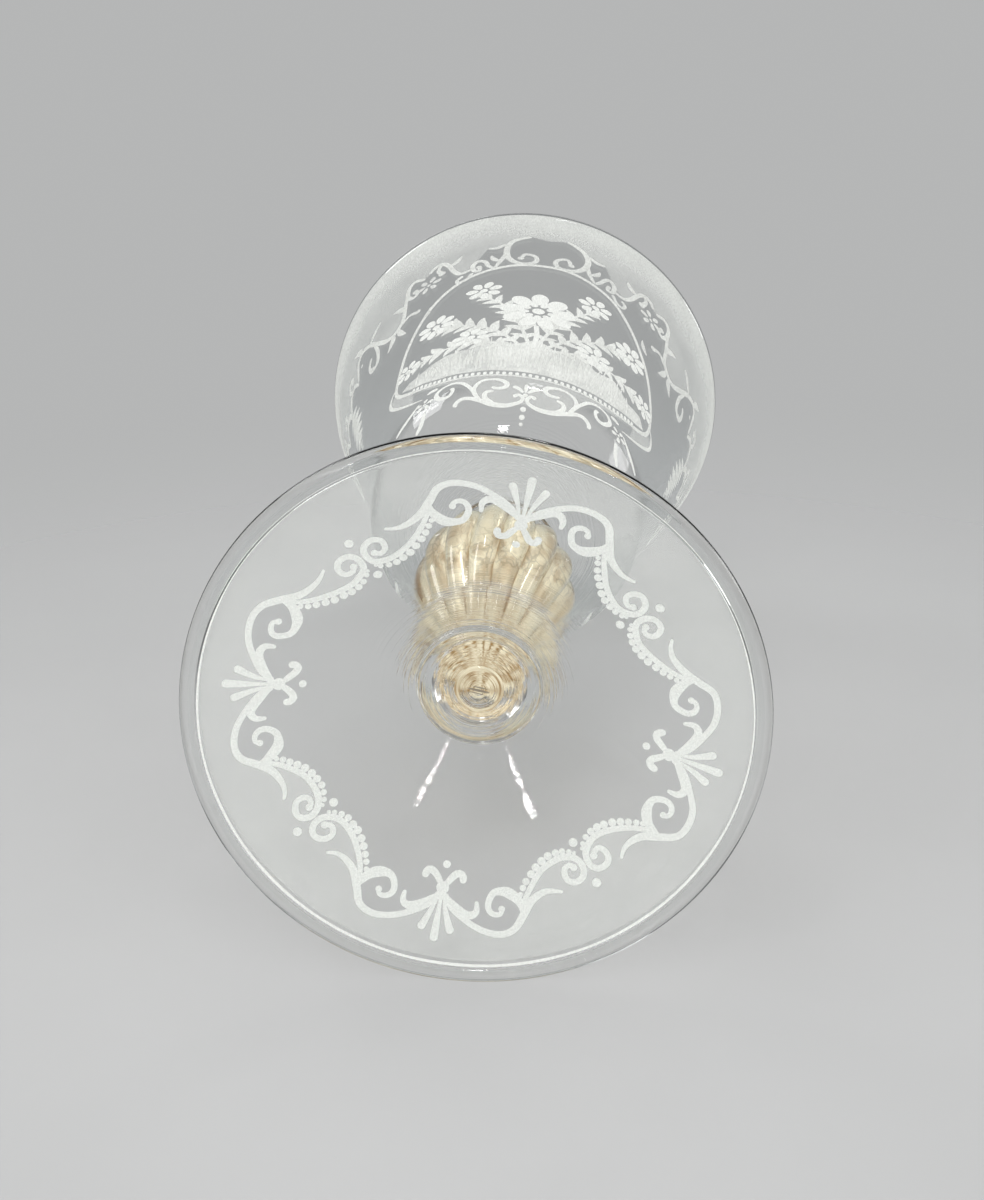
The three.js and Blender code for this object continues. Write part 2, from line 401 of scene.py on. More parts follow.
def clear_glass(name, ring_scale=0.0, ring_height=0.0, wave_height=0.00010):
    """Clear glass with slow waves, and with turning rings about the axis where asked."""
    finish, tree = new_finish(name)
    place = add_node(tree, "ShaderNodeTexCoord").outputs["Object"]
    slow = add_node(tree, "ShaderNodeTexNoise", Vector=place, Scale=38.0, Detail=2.0)
    height = maths(tree, "MULTIPLY", slow.outputs[0], wave_height)
    if ring_scale:
        parts = add_node(tree, "ShaderNodeSeparateXYZ", _0=place)
        flat = add_node(
            tree, "ShaderNodeCombineXYZ", X=parts.outputs["X"], Y=parts.outputs["Y"],
        )
        out = add_node(
            tree, "ShaderNodeVectorMath", {"operation": "LENGTH"}, _0=flat.outputs[0],
        ).outputs["Value"]
        fine = add_node(
            tree, "ShaderNodeTexNoise", {"noise_dimensions": "1D"},
            W=maths(tree, "MULTIPLY", out, ring_scale), Scale=1.0, Detail=3.0,
        ).outputs[0]
        fading = eased(tree, out, 0.040, 0.022)
        rings = maths(tree, "MULTIPLY", maths(tree, "MULTIPLY", fine, ring_height), fading)
        height = maths(tree, "ADD", height, rings)
    bump = add_node(tree, "ShaderNodeBump", Strength=1.0, Distance=1.0, Height=height)
    cloud = add_node(tree, "ShaderNodeTexNoise", Vector=place, Scale=16.0, Detail=2.0)
    facing = add_node(tree, "ShaderNodeLayerWeight", Blend=0.5).outputs["Facing"]
    edge = eased(tree, facing, EDGE_FROM, 1.0)
    depth = maths(tree, "MULTIPLY_ADD", cloud.outputs[0], 0.06, maths(tree, "MULTIPLY", edge, 0.94))
    tint = add_node(
        tree, "ShaderNodeMix", {"data_type": "RGBA"},
        _0=depth, _6=(0.985, 0.99, 0.985, 1.0), _7=EDGE_TINT,
    ).outputs[2]
    body = add_node(
        tree, "ShaderNodeBsdfPrincipled", Base_Color=tint, Roughness=0.0, IOR=1.5,
        Transmission_Weight=1.0, Normal=bump.outputs[0],
    )
    shade = eased(tree, facing, 0.0, 1.0, 0.99, 0.92)
    passed = add_node(tree, "ShaderNodeBsdfTransparent", Color=shade)
    ray = add_node(tree, "ShaderNodeLightPath").outputs
    unbent = maths(tree, "MAXIMUM", ray["Is Shadow Ray"], ray["Is Diffuse Ray"])
    mix = add_node(
        tree, "ShaderNodeMixShader", _0=unbent, _1=body.outputs[0], _2=passed.outputs[0],
    )
    shader_out(tree, mix.outputs[0])
    return finish


def joined_seat():
    """The seam of two hot gathers: no surface at all."""
    finish, tree = new_finish("joined_seat")
    passed = add_node(tree, "ShaderNodeBsdfTransparent")
    shader_out(tree, passed.outputs[0])
    return finish


blown_glass = clear_glass("blown_glass", 900.0, 0.00016)
stem_glass = clear_glass("stem_glass", wave_height=0.00004)
seat_finish = joined_seat()
print("clear glass and joined seats")

# %% [markdown]
# ## The foot
# A foot like this starts as a bubble. It is opened, its edge is folded under for strength, and it
# is spun wide. The fold traps a thin wedge of air inside the rim, and its bright line is drawn
# later as a matt white ring, partly a real seam and partly a painted highlight.
# The curves below are those of the imported model, with many more steps.

# %% Foot
FOOT_R, FOOT_H, SHEET = 75.0, 24.0, 2.0
FOLD_W, FOLD_SHEET, AIR_LINE = 5.0, 1.7, 0.4
PONTIL_R, PONTIL_DEEP = 6.5, 0.8
FOOT_SEAT = 16.0

rim_h = FOLD_SHEET + AIR_LINE + SHEET
edge_r = rim_h / 2
edge = FOOT_R - edge_r
fold_in = FOOT_R - FOLD_W
skirt = FOOT_H - rim_h
reach = edge - FOOT_SEAT
soffit = FOOT_H - SHEET
lip = FOLD_SHEET / 2
foot_top = FOOT_H - SEAT_GAP / 2

foot_upper = np.vstack((
    [(edge, rim_h)],
    bezier(
        (edge, rim_h), (edge - reach * 0.28, rim_h + skirt * 0.13),
        (FOOT_SEAT + reach * 0.3, FOOT_H - skirt * 0.42), (FOOT_SEAT, foot_top), 60,
    ),
))
foot_under = np.vstack((
    [(0, soffit - PONTIL_DEEP)],
    line((0, soffit - PONTIL_DEEP), (PONTIL_R * 0.6, soffit - PONTIL_DEEP), 4),
    round_corner(
        (PONTIL_R * 0.6, soffit - PONTIL_DEEP), (PONTIL_R * 0.9, soffit - PONTIL_DEEP),
        (PONTIL_R, soffit), 8,
    ),
    line((PONTIL_R, soffit), (FOOT_SEAT - 1, soffit), 8),
    bezier(
        (FOOT_SEAT - 1, soffit), (FOOT_SEAT + reach * 0.3, soffit - skirt * 0.42),
        (edge - reach * 0.28, FOLD_SHEET + AIR_LINE + skirt * 0.13),
        (fold_in, FOLD_SHEET + AIR_LINE), 60,
    ),
    line((fold_in, FOLD_SHEET + AIR_LINE), (edge - 0.2, FOLD_SHEET + AIR_LINE / 2), 5),
    line((edge - 0.2, FOLD_SHEET + AIR_LINE / 2), (fold_in + lip, FOLD_SHEET), 5),
    round_corner((fold_in + lip, FOLD_SHEET), (fold_in, lip), (fold_in + lip, 0), 10),
    line((fold_in + lip, 0), (edge, 0), 3),
    arc((edge, edge_r), edge_r, -90, 90, 20),
))
foot_profile = np.vstack((
    foot_under, foot_upper[1:], line((FOOT_SEAT, foot_top), (0, foot_top), 8),
))
blown_foot = turn(
    "blown_foot", foot_profile, [blown_glass, seat_finish], 240, [(foot_top, 0, FOOT_SEAT)],
)
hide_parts("foot")

# %% [markdown]
# ## Buttons, necks and mereses
# Between the blown parts sit small gathers: a button or merese is a drop pressed into a disc, and
# a neck is a drop drawn in with the jacks. Each has the same two profiles at its own sizes.

# %% Disc and neck profiles
def disc_profile(radius, height, bottom, lower, upper):
    """A pressed disc. lower and upper are (radius joined, radius of the flat seat)."""
    low, high = bottom + SEAT_GAP / 2, bottom + height - SEAT_GAP / 2
    middle = bottom + height / 2
    return np.vstack((
        [(0, low)],
        line((0, low), (lower[0], low), 8),
        line((lower[0], low), (lower[1], low), 2),
        round_corner((lower[1], low), (radius, low), (radius, middle), 16),
        round_corner((radius, middle), (radius, high), (upper[1], high), 16),
        line((upper[1], high), (upper[0], high), 2),
        line((upper[0], high), (0, high), 8),
    ))


def neck_profile(radius, waist, height, bottom):
    """A spool drawn in to its waist."""
    low, high = bottom + SEAT_GAP / 2, bottom + height - SEAT_GAP / 2
    return np.vstack((
        [(0, low)],
        line((0, low), (radius, low), 8),
        bezier(
            (radius, low), (waist, bottom + height / 4),
            (waist, bottom + height * 3 / 4), (radius, high), 28,
        ),
        line((radius, high), (0, high), 8),
    ))


def stem_piece(name, node, profile, below, above):
    """Turns one stem gather in the place of its node. It is joined out to these two radii."""
    bottom, top = profile[0, 1], profile[-1, 1]
    piece = turn(
        name, profile, [stem_glass, seat_finish], 128, [(bottom, 0, below), (top, 0, above)],
    )
    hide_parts(node)
    return piece


# %% [markdown]
# The gathers stand on each other, so only their heights are given, and the place of each is the
# sum of those below. Where the ribbed knop meets a merese, the joined disc is a little smaller than
# the valleys between the ribs, so that nothing of the seat shows beside them.

# %% The six stem gathers
LOWER_NECK_R, UPPER_NECK_R = 12.5, 12.0
KNOP_FOOT_R, KNOP_NECK_R, KNOP_R, KNOP_H = 12.5, 11.5, 23.8, 80.5
RIB_DEPTH, RIB_END_SHARE = 3.4, 0.55
BOWL_SEAT = 13.5
FLAT, INSET = 1.0, 0.5
valley = 1 - RIB_DEPTH / KNOP_R * RIB_END_SHARE
knop_foot_joined = KNOP_FOOT_R * valley - 0.3
knop_neck_joined = KNOP_NECK_R * valley - 0.3

BUTTON_H, LOWER_NECK_H, LOWER_MERESE_H = 4.5, 15.5, 5.5
UPPER_MERESE_H, UPPER_NECK_H, BOWL_BUTTON_H = 4.6, 8.0, 4.4
lower_neck_low = FOOT_H + BUTTON_H
lower_merese_low = lower_neck_low + LOWER_NECK_H
KNOP_LOW = lower_merese_low + LOWER_MERESE_H
upper_merese_low = KNOP_LOW + KNOP_H
upper_neck_low = upper_merese_low + UPPER_MERESE_H
bowl_button_low = upper_neck_low + UPPER_NECK_H
BOWL_LOW = bowl_button_low + BOWL_BUTTON_H

lower_flat = (LOWER_NECK_R, LOWER_NECK_R + FLAT)
upper_flat = (UPPER_NECK_R, UPPER_NECK_R + FLAT)
foot_button = disc_profile(17.0, BUTTON_H, FOOT_H, (FOOT_SEAT - INSET, FOOT_SEAT), lower_flat)
lower_neck = neck_profile(LOWER_NECK_R, 9.6, LOWER_NECK_H, lower_neck_low)
lower_merese = disc_profile(
    20.6, LOWER_MERESE_H, lower_merese_low, lower_flat, (knop_foot_joined, KNOP_FOOT_R + FLAT),
)
upper_merese = disc_profile(
    18.5, UPPER_MERESE_H, upper_merese_low, (knop_neck_joined, KNOP_NECK_R + FLAT), upper_flat,
)
upper_neck = neck_profile(UPPER_NECK_R, 9.4, UPPER_NECK_H, upper_neck_low)
bowl_button = disc_profile(
    15.5, BOWL_BUTTON_H, bowl_button_low, upper_flat, (BOWL_SEAT - INSET, BOWL_SEAT),
)
for name, node, profile, below, above in (
    ("pressed_foot_button", "foot_button", foot_button, FOOT_SEAT, LOWER_NECK_R),
    ("drawn_lower_neck", "lower_neck", lower_neck, LOWER_NECK_R, LOWER_NECK_R),
    ("pressed_lower_merese", "lower_merese", lower_merese, LOWER_NECK_R, knop_foot_joined),
    ("pressed_upper_merese", "upper_merese", upper_merese, knop_neck_joined, UPPER_NECK_R),
    ("drawn_upper_neck", "upper_neck", upper_neck, UPPER_NECK_R, UPPER_NECK_R),
    ("pressed_bowl_button", "bowl_button", bowl_button, UPPER_NECK_R, BOWL_SEAT),
):
    stem_piece(name, node, profile, below, above)

# %% [markdown]
# ## The knop
# The knop is two gathers. The inner bubble was rolled on gold leaf, which cracked into islands as
# it was blown out. The outer gather was dipped in a mould with fourteen ribs and twisted a little.
# Both walls use one rule for the ribs: the radius shrinks in the valleys by a share that is
# largest at mid-height, and the angle turns with the height.

# %% Ribs and knop curves
BELLY = 0.66
RIBS = 14
RIB_SOFTNESS = 0.0016
TWIST = math.radians(14)
CASING, CORE_WALL, CLEAR = 3.4, 2.2, 0.3


def press_ribs(points):
    """radius * (1 - depth share * swell * (1 - |sin(ribs/2 * angle)|)), angle + twist * along. The
    sine's sharp turn at zero is softened by adding a small number under a square root."""
    radius = np.hypot(points[..., 0], points[..., 1])
    angle = np.arctan2(points[..., 1], points[..., 0]) + math.pi / 2
    along = (points[..., 2] - KNOP_LOW) / KNOP_H
    lobe = np.sqrt(np.sin(RIBS / 2 * angle) ** 2 + RIB_SOFTNESS)
    swell = RIB_END_SHARE + (1 - RIB_END_SHARE) * np.sin(math.pi * along)
    pressed = radius * (1 - RIB_DEPTH / KNOP_R * swell * np.clip(1 - lobe, 0, 1))
    turned = angle - math.pi / 2 + TWIST * along
    return np.stack((pressed * np.cos(turned), pressed * np.sin(turned), points[..., 2]), -1)


def knop_curve(depth, bottom, top, steps=40):
    """The knop's outline at a depth under the rib crests, from its foot to its neck."""
    foot = np.array((KNOP_FOOT_R - depth / 2, bottom))
    belly = np.array((KNOP_R - depth, KNOP_H * BELLY))
    neck = np.array((KNOP_NECK_R - depth / 2, top))
    rise, fall = belly[1] - bottom, top - belly[1]
    lower = bezier(
        foot, (foot[0] + (belly[0] - foot[0]) * 0.15, bottom + rise * 0.35),
        (belly[0], belly[1] - rise * 0.38), belly, steps,
    )
    upper = bezier(
        belly, (belly[0], belly[1] + fall * 0.6),
        (neck[0] + (belly[0] - neck[0]) * 0.5, top - fall * 0.12), neck, steps,
    )
    return np.vstack(([foot], lower, upper)) + (0, KNOP_LOW)


print(RIBS, "ribs,", RIB_DEPTH, "mm deep on a radius of", knop_curve(0, 0, KNOP_H)[:, 0].max())

# %% [markdown]
# ## Crackled gold leaf
# The leaf is metal, but so thin and so creased that it shines in small flakes. A Voronoi pattern
# gives the islands, a noise bends their borders and opens some wider than others, and a finer
# Voronoi gives each crease its own tilt. Both are drawn out along the knop, as the leaf was, and
# long pale and amber streaks run with them. Light and shade on the ribs are painted into the tone:
# near white on the rib crests as a painted highlight, deep brown in the valleys as painted shade.
# Where the leaf has parted, the finish is partly clear glass.

# %% Gold leaf
def gold_leaf():
    finish, tree = new_finish("gold_leaf")
    whole = add_node(tree, "ShaderNodeTexCoord").outputs["Object"]
    place = add_node(tree, "ShaderNodeMapping", _0=whole, _3=(1.0, 1.0, 0.28)).outputs[0]
    drawn = add_node(tree, "ShaderNodeMapping", _0=whole, _3=(1.0, 1.0, 0.11)).outputs[0]
    bend = add_node(tree, "ShaderNodeTexNoise", Vector=place, Scale=260.0, Detail=3.0)
    shift = add_node(
        tree, "ShaderNodeVectorMath", {"operation": "MULTIPLY_ADD"},
        _0=bend.outputs["Color"], _1=(0.0035, 0.0035, 0.0035), _2=place,
    ).outputs[0]
    parts = add_node(tree, "ShaderNodeSeparateXYZ", _0=whole).outputs
    angle = maths(tree, "ARCTAN2", parts["Y"], parts["X"])
    unturned = maths(
        tree, "MULTIPLY_ADD", parts["Z"], -TWIST / (KNOP_H * MM), TWIST * KNOP_LOW / KNOP_H,
    )
    phase = maths(tree, "ADD", maths(tree, "ADD", angle, unturned), math.pi / 2)
    lobe = maths(
        tree, "ABSOLUTE", maths(tree, "SINE", maths(tree, "MULTIPLY", phase, RIBS / 2)),
    )
    islands = add_node(
        tree, "ShaderNodeTexVoronoi", {"feature": "DISTANCE_TO_EDGE"},
        Vector=shift, Scale=560.0,
    ).outputs["Distance"]
    spread = add_node(tree, "ShaderNodeTexNoise", Vector=place, Scale=90.0, Detail=2.0)
    width = eased(tree, spread.outputs[0], 0.35, 0.72, 0.004, 0.07)
    leaf_share = eased(
        tree, maths(tree, "SUBTRACT", islands, width), 0.0, 0.04, 0.74, 1.0,
    )
    flakes = add_node(
        tree, "ShaderNodeTexVoronoi", {"feature": "F1"}, Vector=shift, Scale=1100.0,
    )
    flake_tone = maths(tree, "MULTIPLY_ADD", flakes.outputs["Color"], 0.36, -0.18)
    streak = add_node(tree, "ShaderNodeTexNoise", Vector=drawn, Scale=330.0, Detail=3.0)
    streak_tone = eased(tree, streak.outputs[0], 0.36, 0.66, -0.50, 0.30)
    # Painted highlight and shade: the rib crests are painted near white and the valleys deep brown.
    # Flakes and streaks add the leaf's own tone.
    painted_rib_light_and_leaf_tone = maths(tree, "ADD", eased(tree, lobe, 0.05, 0.80), flake_tone)
    painted_rib_light_and_leaf_tone = maths(tree, "ADD", painted_rib_light_and_leaf_tone, streak_tone)
    tone = add_node(
        tree, "ShaderNodeMix", {"data_type": "RGBA"},
        _0=painted_rib_light_and_leaf_tone, _6=(0.37, 0.21, 0.06, 1.0), _7=(1.0, 0.90, 0.66, 1.0),
    ).outputs[2]
    crease = add_node(tree, "ShaderNodeTexNoise", Vector=place, Scale=900.0, Detail=3.0)
    relief = maths(
        tree, "ADD", maths(tree, "MULTIPLY", crease.outputs[0], 0.00008),
        maths(tree, "MULTIPLY", flakes.outputs["Distance"], 0.00007),
    )
    bump = add_node(tree, "ShaderNodeBump", Strength=1.0, Distance=1.0, Height=relief)
    polish = eased(tree, spread.outputs[0], 0.3, 0.7, 0.20, 0.40)
    metal = add_node(
        tree, "ShaderNodeBsdfPrincipled", Base_Color=tone, Metallic=0.38,
        Roughness=polish, Normal=bump.outputs[0],
    )
    clear = add_node(tree, "ShaderNodeBsdfTransparent", Color=(0.97, 0.96, 0.92, 1.0))
    mix = add_node(
        tree, "ShaderNodeMixShader", _0=leaf_share, _1=clear.outputs[0], _2=metal.outputs[0],
    )
    shader_out(tree, mix.outputs[0])
    return finish


leaf_finish = gold_leaf()
print("gold leaf of", len(leaf_finish.node_tree.nodes), "nodes")

# %% [markdown]
# The casing is turned as a cup: along its seat, up the outside, over the neck and down the inside.
# Its inner wall lies against the gilt bubble, where the real glass has no surface, so those faces
# take the finish of a joined seat too. Then both walls are pressed by the rule of the ribs.

# %% The ribbed casing
AROUND = RIBS * 18
EASE, FAR = 0.9, 99
FLOOR_ROWS = 6
knop_low, knop_high = KNOP_LOW + SEAT_GAP / 2, KNOP_LOW + KNOP_H - SEAT_GAP / 2
outside = np.clip(knop_curve(0, 0, KNOP_H), (0, knop_low), (FAR, knop_high))
inside = np.clip(knop_curve(CASING, CASING, KNOP_H)[::-1], (0, 0), (FAR, knop_high))
casing_floor = KNOP_LOW + CASING
neck_lip = KNOP_NECK_R - 0.3
casing_profile = np.vstack((
    [(0, knop_low)],
    line((0, knop_low), (KNOP_FOOT_R - EASE, knop_low), 8),
    round_corner(
        (KNOP_FOOT_R - EASE, knop_low), (KNOP_FOOT_R - 0.1, knop_low), outside[2], 5,
    ),
    outside[3:-1],
    line(outside[-2], (neck_lip, knop_high), 3),
    line((neck_lip, knop_high), inside[0], 4),
    inside[1:],
    line(inside[-1], (0, casing_floor), FLOOR_ROWS),
))
knop_seats = [(knop_low, 0, KNOP_FOOT_R - EASE + 0.05), (knop_high, 5, neck_lip)]
ribbed_casing = turn(
    "ribbed_knop_casing", casing_profile, [stem_glass, seat_finish], AROUND, knop_seats,
    press_ribs, 60,
)
inner_rows = len(inside) - 1 + FLOOR_ROWS
inner_start = len(casing_profile) - 1 - inner_rows
slots = np.zeros(len(ribbed_casing.data.polygons), np.int32)
ribbed_casing.data.polygons.foreach_get("material_index", slots)
slots = slots.reshape(-1, AROUND)
slots[inner_start:] = 1
ribbed_casing.data.polygons.foreach_set("material_index", slots.ravel())
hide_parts("knop_casing")

# %% [markdown]
# The gilt bubble is turned the same way, a clearance inside the casing. The leaf covers its
# foot and its outside, and its inside stays clear glass.

# %% The gilt core
core_foot, core_hollow = CASING + CLEAR, CASING + CLEAR + CORE_WALL
core_bottom = casing_floor + SEAT_GAP
core_out = np.clip(knop_curve(core_foot, CASING, KNOP_H), (0, core_bottom), (FAR, knop_high))
core_in = knop_curve(core_hollow, core_hollow, KNOP_H)[::-1]
core_in = np.clip(core_in, (0, 0), (FAR, knop_high))
core_profile = np.vstack((
    [(0, core_bottom)],
    line((0, core_bottom), core_out[0], 8),
    core_out[1:],
    line(core_out[-1], core_in[0], 3),
    core_in[1:],
    line(core_in[-1], (0, core_in[-1, 1]), 6),
))
gilt_core = turn(
    "gilt_knop_core", core_profile, [stem_glass, leaf_finish], AROUND, (), press_ribs, 60,
)
leaf_end = 8 + len(core_out)
slots = np.zeros((len(core_profile) - 1, AROUND), np.int32)
slots[:leaf_end] = 1
gilt_core.data.polygons.foreach_set("material_index", slots.ravel())
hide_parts("knop_core")

# %% [markdown]
# ## The bowl
# The bowl is a second bubble, cut open, flared and fire-polished, so its lip is a soft half round
# and its wall thins upwards from a thick floor.

# %% Bowl
BOWL_H = 159.0
RIM_R, BASE_R, WALL, BOWL_FLOOR = 72.6, 45.0, 2.2, 3.4

turn_h = BOWL_H * 0.15
lip_r = WALL / 2
wall_top = BOWL_H - lip_r
inner_base = BASE_R - WALL
inner_turn = turn_h + BOWL_FLOOR * 0.6
flare = RIM_R - BASE_R
bowl_low = SEAT_GAP / 2
bowl_outer = np.vstack((
    [(BOWL_SEAT, bowl_low)],
    bezier(
        (BOWL_SEAT, bowl_low), (BOWL_SEAT + (BASE_R - BOWL_SEAT) * 0.62, turn_h * 0.16),
        (BASE_R - (BASE_R - BOWL_SEAT) * 0.06, turn_h * 0.36), (BASE_R, turn_h), 36,
    ),
    bezier(
        (BASE_R, turn_h), (BASE_R + flare * 0.16, BOWL_H * 0.42),
        (RIM_R - flare * 0.3, BOWL_H * 0.76), (RIM_R, wall_top), 64,
    ),
)) + (0, BOWL_LOW)
bowl_inner = np.vstack((
    [(RIM_R - WALL, wall_top)],
    bezier(
        (RIM_R - WALL, wall_top), (RIM_R - WALL - flare * 0.3, BOWL_H * 0.76),
        (inner_base + flare * 0.16, BOWL_H * 0.42), (inner_base, inner_turn), 64,
    ),
    bezier(
        (inner_base, inner_turn), (inner_base * 0.95, inner_turn - (inner_turn - BOWL_FLOOR) * 0.7),
        (inner_base * 0.6, BOWL_FLOOR), (0, BOWL_FLOOR), 40,
    ),
)) + (0, BOWL_LOW)
bowl_profile = np.vstack((
    [(0, BOWL_LOW + bowl_low)],
    line((0, BOWL_LOW + bowl_low), (BOWL_SEAT, BOWL_LOW + bowl_low), 8),
    bowl_outer[1:],
    arc((RIM_R - lip_r, BOWL_LOW + wall_top), lip_r, 0, 180, 14),
    bowl_inner[1:],
))
blown_bowl = turn(
    "blown_bowl", bowl_profile, [blown_glass, seat_finish], 240,
    [(BOWL_LOW + bowl_low, 0, BOWL_SEAT)],
)
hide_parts("bowl")

# %% [markdown]
# ## The engraver's wheel
# The ornament is cut with small copper wheels and left matt. A cut could be a groove in the wall,
# but a groove this fine needs millions of faces. So each cut is a thin matt body that fills its
# groove and stands a hair proud of the wall. It follows the wall through a table, which gives the
# radius, height and outward normal at any coordinate, and how far the wall runs per millimetre
# of that coordinate. The foot is read by radius and the bowl by height.

# %% Walls as tables
def wall_table(profile, column, outward):
    """Key, then radius, height, normal (2 columns) and wall length per key. The normal is
    (dheight, -dradius) / length, times outward (+1 or -1)."""
    wall = profile[np.argsort(profile[:, column])]
    key, first = np.unique(wall[:, column], return_index=True)
    wall = wall[first]
    slope = np.gradient(wall, key, axis=0)
    length = np.hypot(slope[:, 0], slope[:, 1])
    normal = np.column_stack((slope[:, 1], -slope[:, 0])) / length[:, None] * outward
    return {"key": key, "rows": np.column_stack((wall, normal, length)), "side": outward}


def look_up(table, key):
    """The table's rows at any keys, read between its own by straight lines."""
    return np.stack([np.interp(key, table["key"], c) for c in table["rows"].T], -1)


def on_wall(table, angle, key, lift):
    """Points at an angle and a key, lifted off the wall along its normal."""
    found = look_up(table, key)
    radius = found[..., 0] + lift * found[..., 2]
    height = found[..., 1] + lift * found[..., 3]
    return np.stack((radius * np.cos(angle), radius * np.sin(angle), height), -1)


foot_wall = wall_table(foot_upper, 0, -1)
bowl_wall = wall_table(bowl_outer, 1, 1)
print("foot wall from", foot_wall["key"][[0, -1]], "bowl wall from", bowl_wall["key"][[0, -1]])

# %% [markdown]
# A cut starts as a few points on the wall, in degrees and millimetres, with a half-width at each.
# A Catmull-Rom curve passes through them all, which suits points given one by one; a
# Bezier curve would need handles for each. Loops of points along such a curve, joined by quads,
# make its surface.

# %% Curves and strips
def eased_path(rows, steps=8):
    """0.5 (2b + (c-a)t + (2a-5b+4c-d)t^2 + (3b-a-3c+d)t^3) between each pair b and c."""
    rows = np.asarray(rows, float)
    rows = np.vstack((2 * rows[0] - rows[1], rows, 2 * rows[-1] - rows[-2]))
    t = np.linspace(0, 1, steps, endpoint=False)[None, :, None]
    a, b, c, d = (rows[i:len(rows) - 3 + i, None] for i in range(4))
    bend = (2 * a - 5 * b + 4 * c - d) * t ** 2 + (3 * b - a - 3 * c + d) * t ** 3
    curve = 0.5 * (2 * b + (c - a) * t + bend)
    return np.vstack((curve.reshape(-1, rows.shape[1]), rows[-2]))


def swept(loops, around, side):
    """Quads between neighbouring loops of points; around closes the last loop to the first."""
    count, size = loops.shape[:2]
    loop = np.arange(count if around else count - 1)[:, None]
    here, after = loop * size, (loop + 1) % count * size
    point = np.arange(size)
    beside = np.roll(point, -1)
    quads = np.stack((here + point, after + point, after + beside, here + beside), -1)
    quads = quads.reshape(-1, 4)
    return quads if side > 0 else quads[:, ::-1]


# %% [markdown]
# A wheel leaves a shallow round-bottomed stroke that fades in and out. So the section of a cut is
# a low dome on a flat base, wider where the wheel was pressed, and both its ends are rounded.

# %% One cut
LIFT = 0.026
DOME_RISE = 0.04
ACROSS = np.array((-1, -0.62, 0, 0.62, 1, 0))
DOME = np.array((0, 0.75, 1, 0.75, 0, 0))
ROUNDING = np.radians((14, 42, 70))
THINNEST = 0.08


def cut(table, path, half_width, spacing=0.8):
    """A domed ribbon with rounded ends. Sideways offsets are divided by the millimetres that
    a radian of angle, or a millimetre of key, is worth at that place on the wall."""
    rows = eased_path(np.column_stack((path, np.broadcast_to(half_width, len(path)))))
    angle, key, half = np.radians(rows[:, 0]), rows[:, 1], np.maximum(rows[:, 2], THINNEST)
    found = look_up(table, key)
    middle = (found[1:] + found[:-1]) / 2
    step = np.hypot(np.diff(angle) * middle[:, 0], np.diff(key) * middle[:, 4])
    gone = np.concatenate(([0], np.cumsum(step)))
    first, last = min(half[0], gone[-1] * 0.4), min(half[-1], gone[-1] * 0.4)
    count = max(4, int(gone[-1] / spacing))
    where = np.concatenate((
        first * (1 - np.cos(ROUNDING)),
        np.linspace(first, gone[-1] - last, count),
        gone[-1] - last * (1 - np.cos(ROUNDING[::-1])),
    ))
    angle, key, half = (np.interp(where, gone, v) for v in (angle, key, half))
    half[:3] *= np.sin(ROUNDING)
    half[-3:] *= np.sin(ROUNDING[::-1])
    found = look_up(table, key)
    run = np.column_stack((np.gradient(angle) * found[:, 0], np.gradient(key) * found[:, 4]))
    run /= np.linalg.norm(run, axis=1, keepdims=True)
    offset = half[:, None] * ACROSS
    loop_angle = angle[:, None] - offset * run[:, 1:] / found[:, :1]
    loop_key = key[:, None] + offset * run[:, :1] / found[:, 4:]
    loops = on_wall(table, loop_angle, loop_key, LIFT + DOME_RISE * half[:, None] * DOME)
    start = np.arange(6)[::table["side"]]
    end = (len(loops) - 1) * 6 + start[::-1]
    faces = swept(loops, False, table["side"]).tolist() + [start.tolist(), end.tolist()]
    return loops.reshape(-1, 3), faces


TRY_LOW, TRY_HIGH = (0, 200), (0, 210)
print("a cut of 10 mm has", len(cut(bowl_wall, [TRY_LOW, TRY_HIGH], 0.5)[0]), "points")

# %% [markdown]
# A wheel that is held still leaves a round dimple, so a bead is a small domed disc. All the cuts
# and beads of one field go into one mesh, because hundreds of objects would be slow to handle.

# %% One bead, and a whole field
BEAD_RISE = 1.6 * DOME_RISE


def bead(table, at, radius, around=14):
    """A small domed disc: an edge ring, an upper ring, and a point above and below."""
    turns = np.linspace(0, 2 * np.pi, around, endpoint=False)
    found = look_up(table, at[1])
    share = np.array((1, 0.6, 0, 0))
    spread = radius * share[:2, None]
    angle = math.radians(at[0]) + spread * np.cos(turns) / found[0]
    key = at[1] + spread * np.sin(turns) / found[4]
    rise = LIFT + BEAD_RISE * radius * np.array((0, 0.75))[:, None]
    rings = on_wall(table, angle, key, rise).reshape(-1, 3)
    tips = on_wall(
        table, np.full(2, math.radians(at[0])), np.full(2, float(at[1])),
        LIFT + BEAD_RISE * radius * np.array((1, 0)),
    )
    i = np.arange(around)
    n = np.roll(i, -1)
    quads = np.column_stack((i, n, around + n, around + i))
    top = np.column_stack((around + i, around + n, np.full(around, 2 * around)))
    base = np.column_stack((n, i, np.full(around, 2 * around + 1)))
    faces = [block[:, ::table["side"]].tolist() for block in (quads, top, base)]
    return np.vstack((rings, tips)), faces[0] + faces[1] + faces[2]


def engraved(name, parts, finish):
    """All the cuts of one field in one mesh, which rides with the wall that it is cut in."""
    starts = np.cumsum([0] + [len(points) for points, _ in parts])
    faces = [[v + start for v in face] for (_, f), start in zip(parts, starts) for face in f]
    points = np.vstack([points for points, _ in parts])
    return new_piece(name, points, faces, [finish], sharp=30)


print("a bead has", len(bead(bowl_wall, TRY_LOW, 1.0)[0]), "points")

# %% [markdown]
# Between the cuts the wheel has dulled the ground, which is greyer than the cuts because most light
# still goes straight through. The ground is a thin frosted skin between two borders. One border
# follows the scrolls and the other is plain. The foot's upper face is seen from below, through its
# own glass, so there the skin lies outside the cuts. On the bowl it lies inside them, so the cuts
# are always in front.

# %% One frosted ground
GROUND_LIFT, GROUND_THICK = 0.004, 0.006


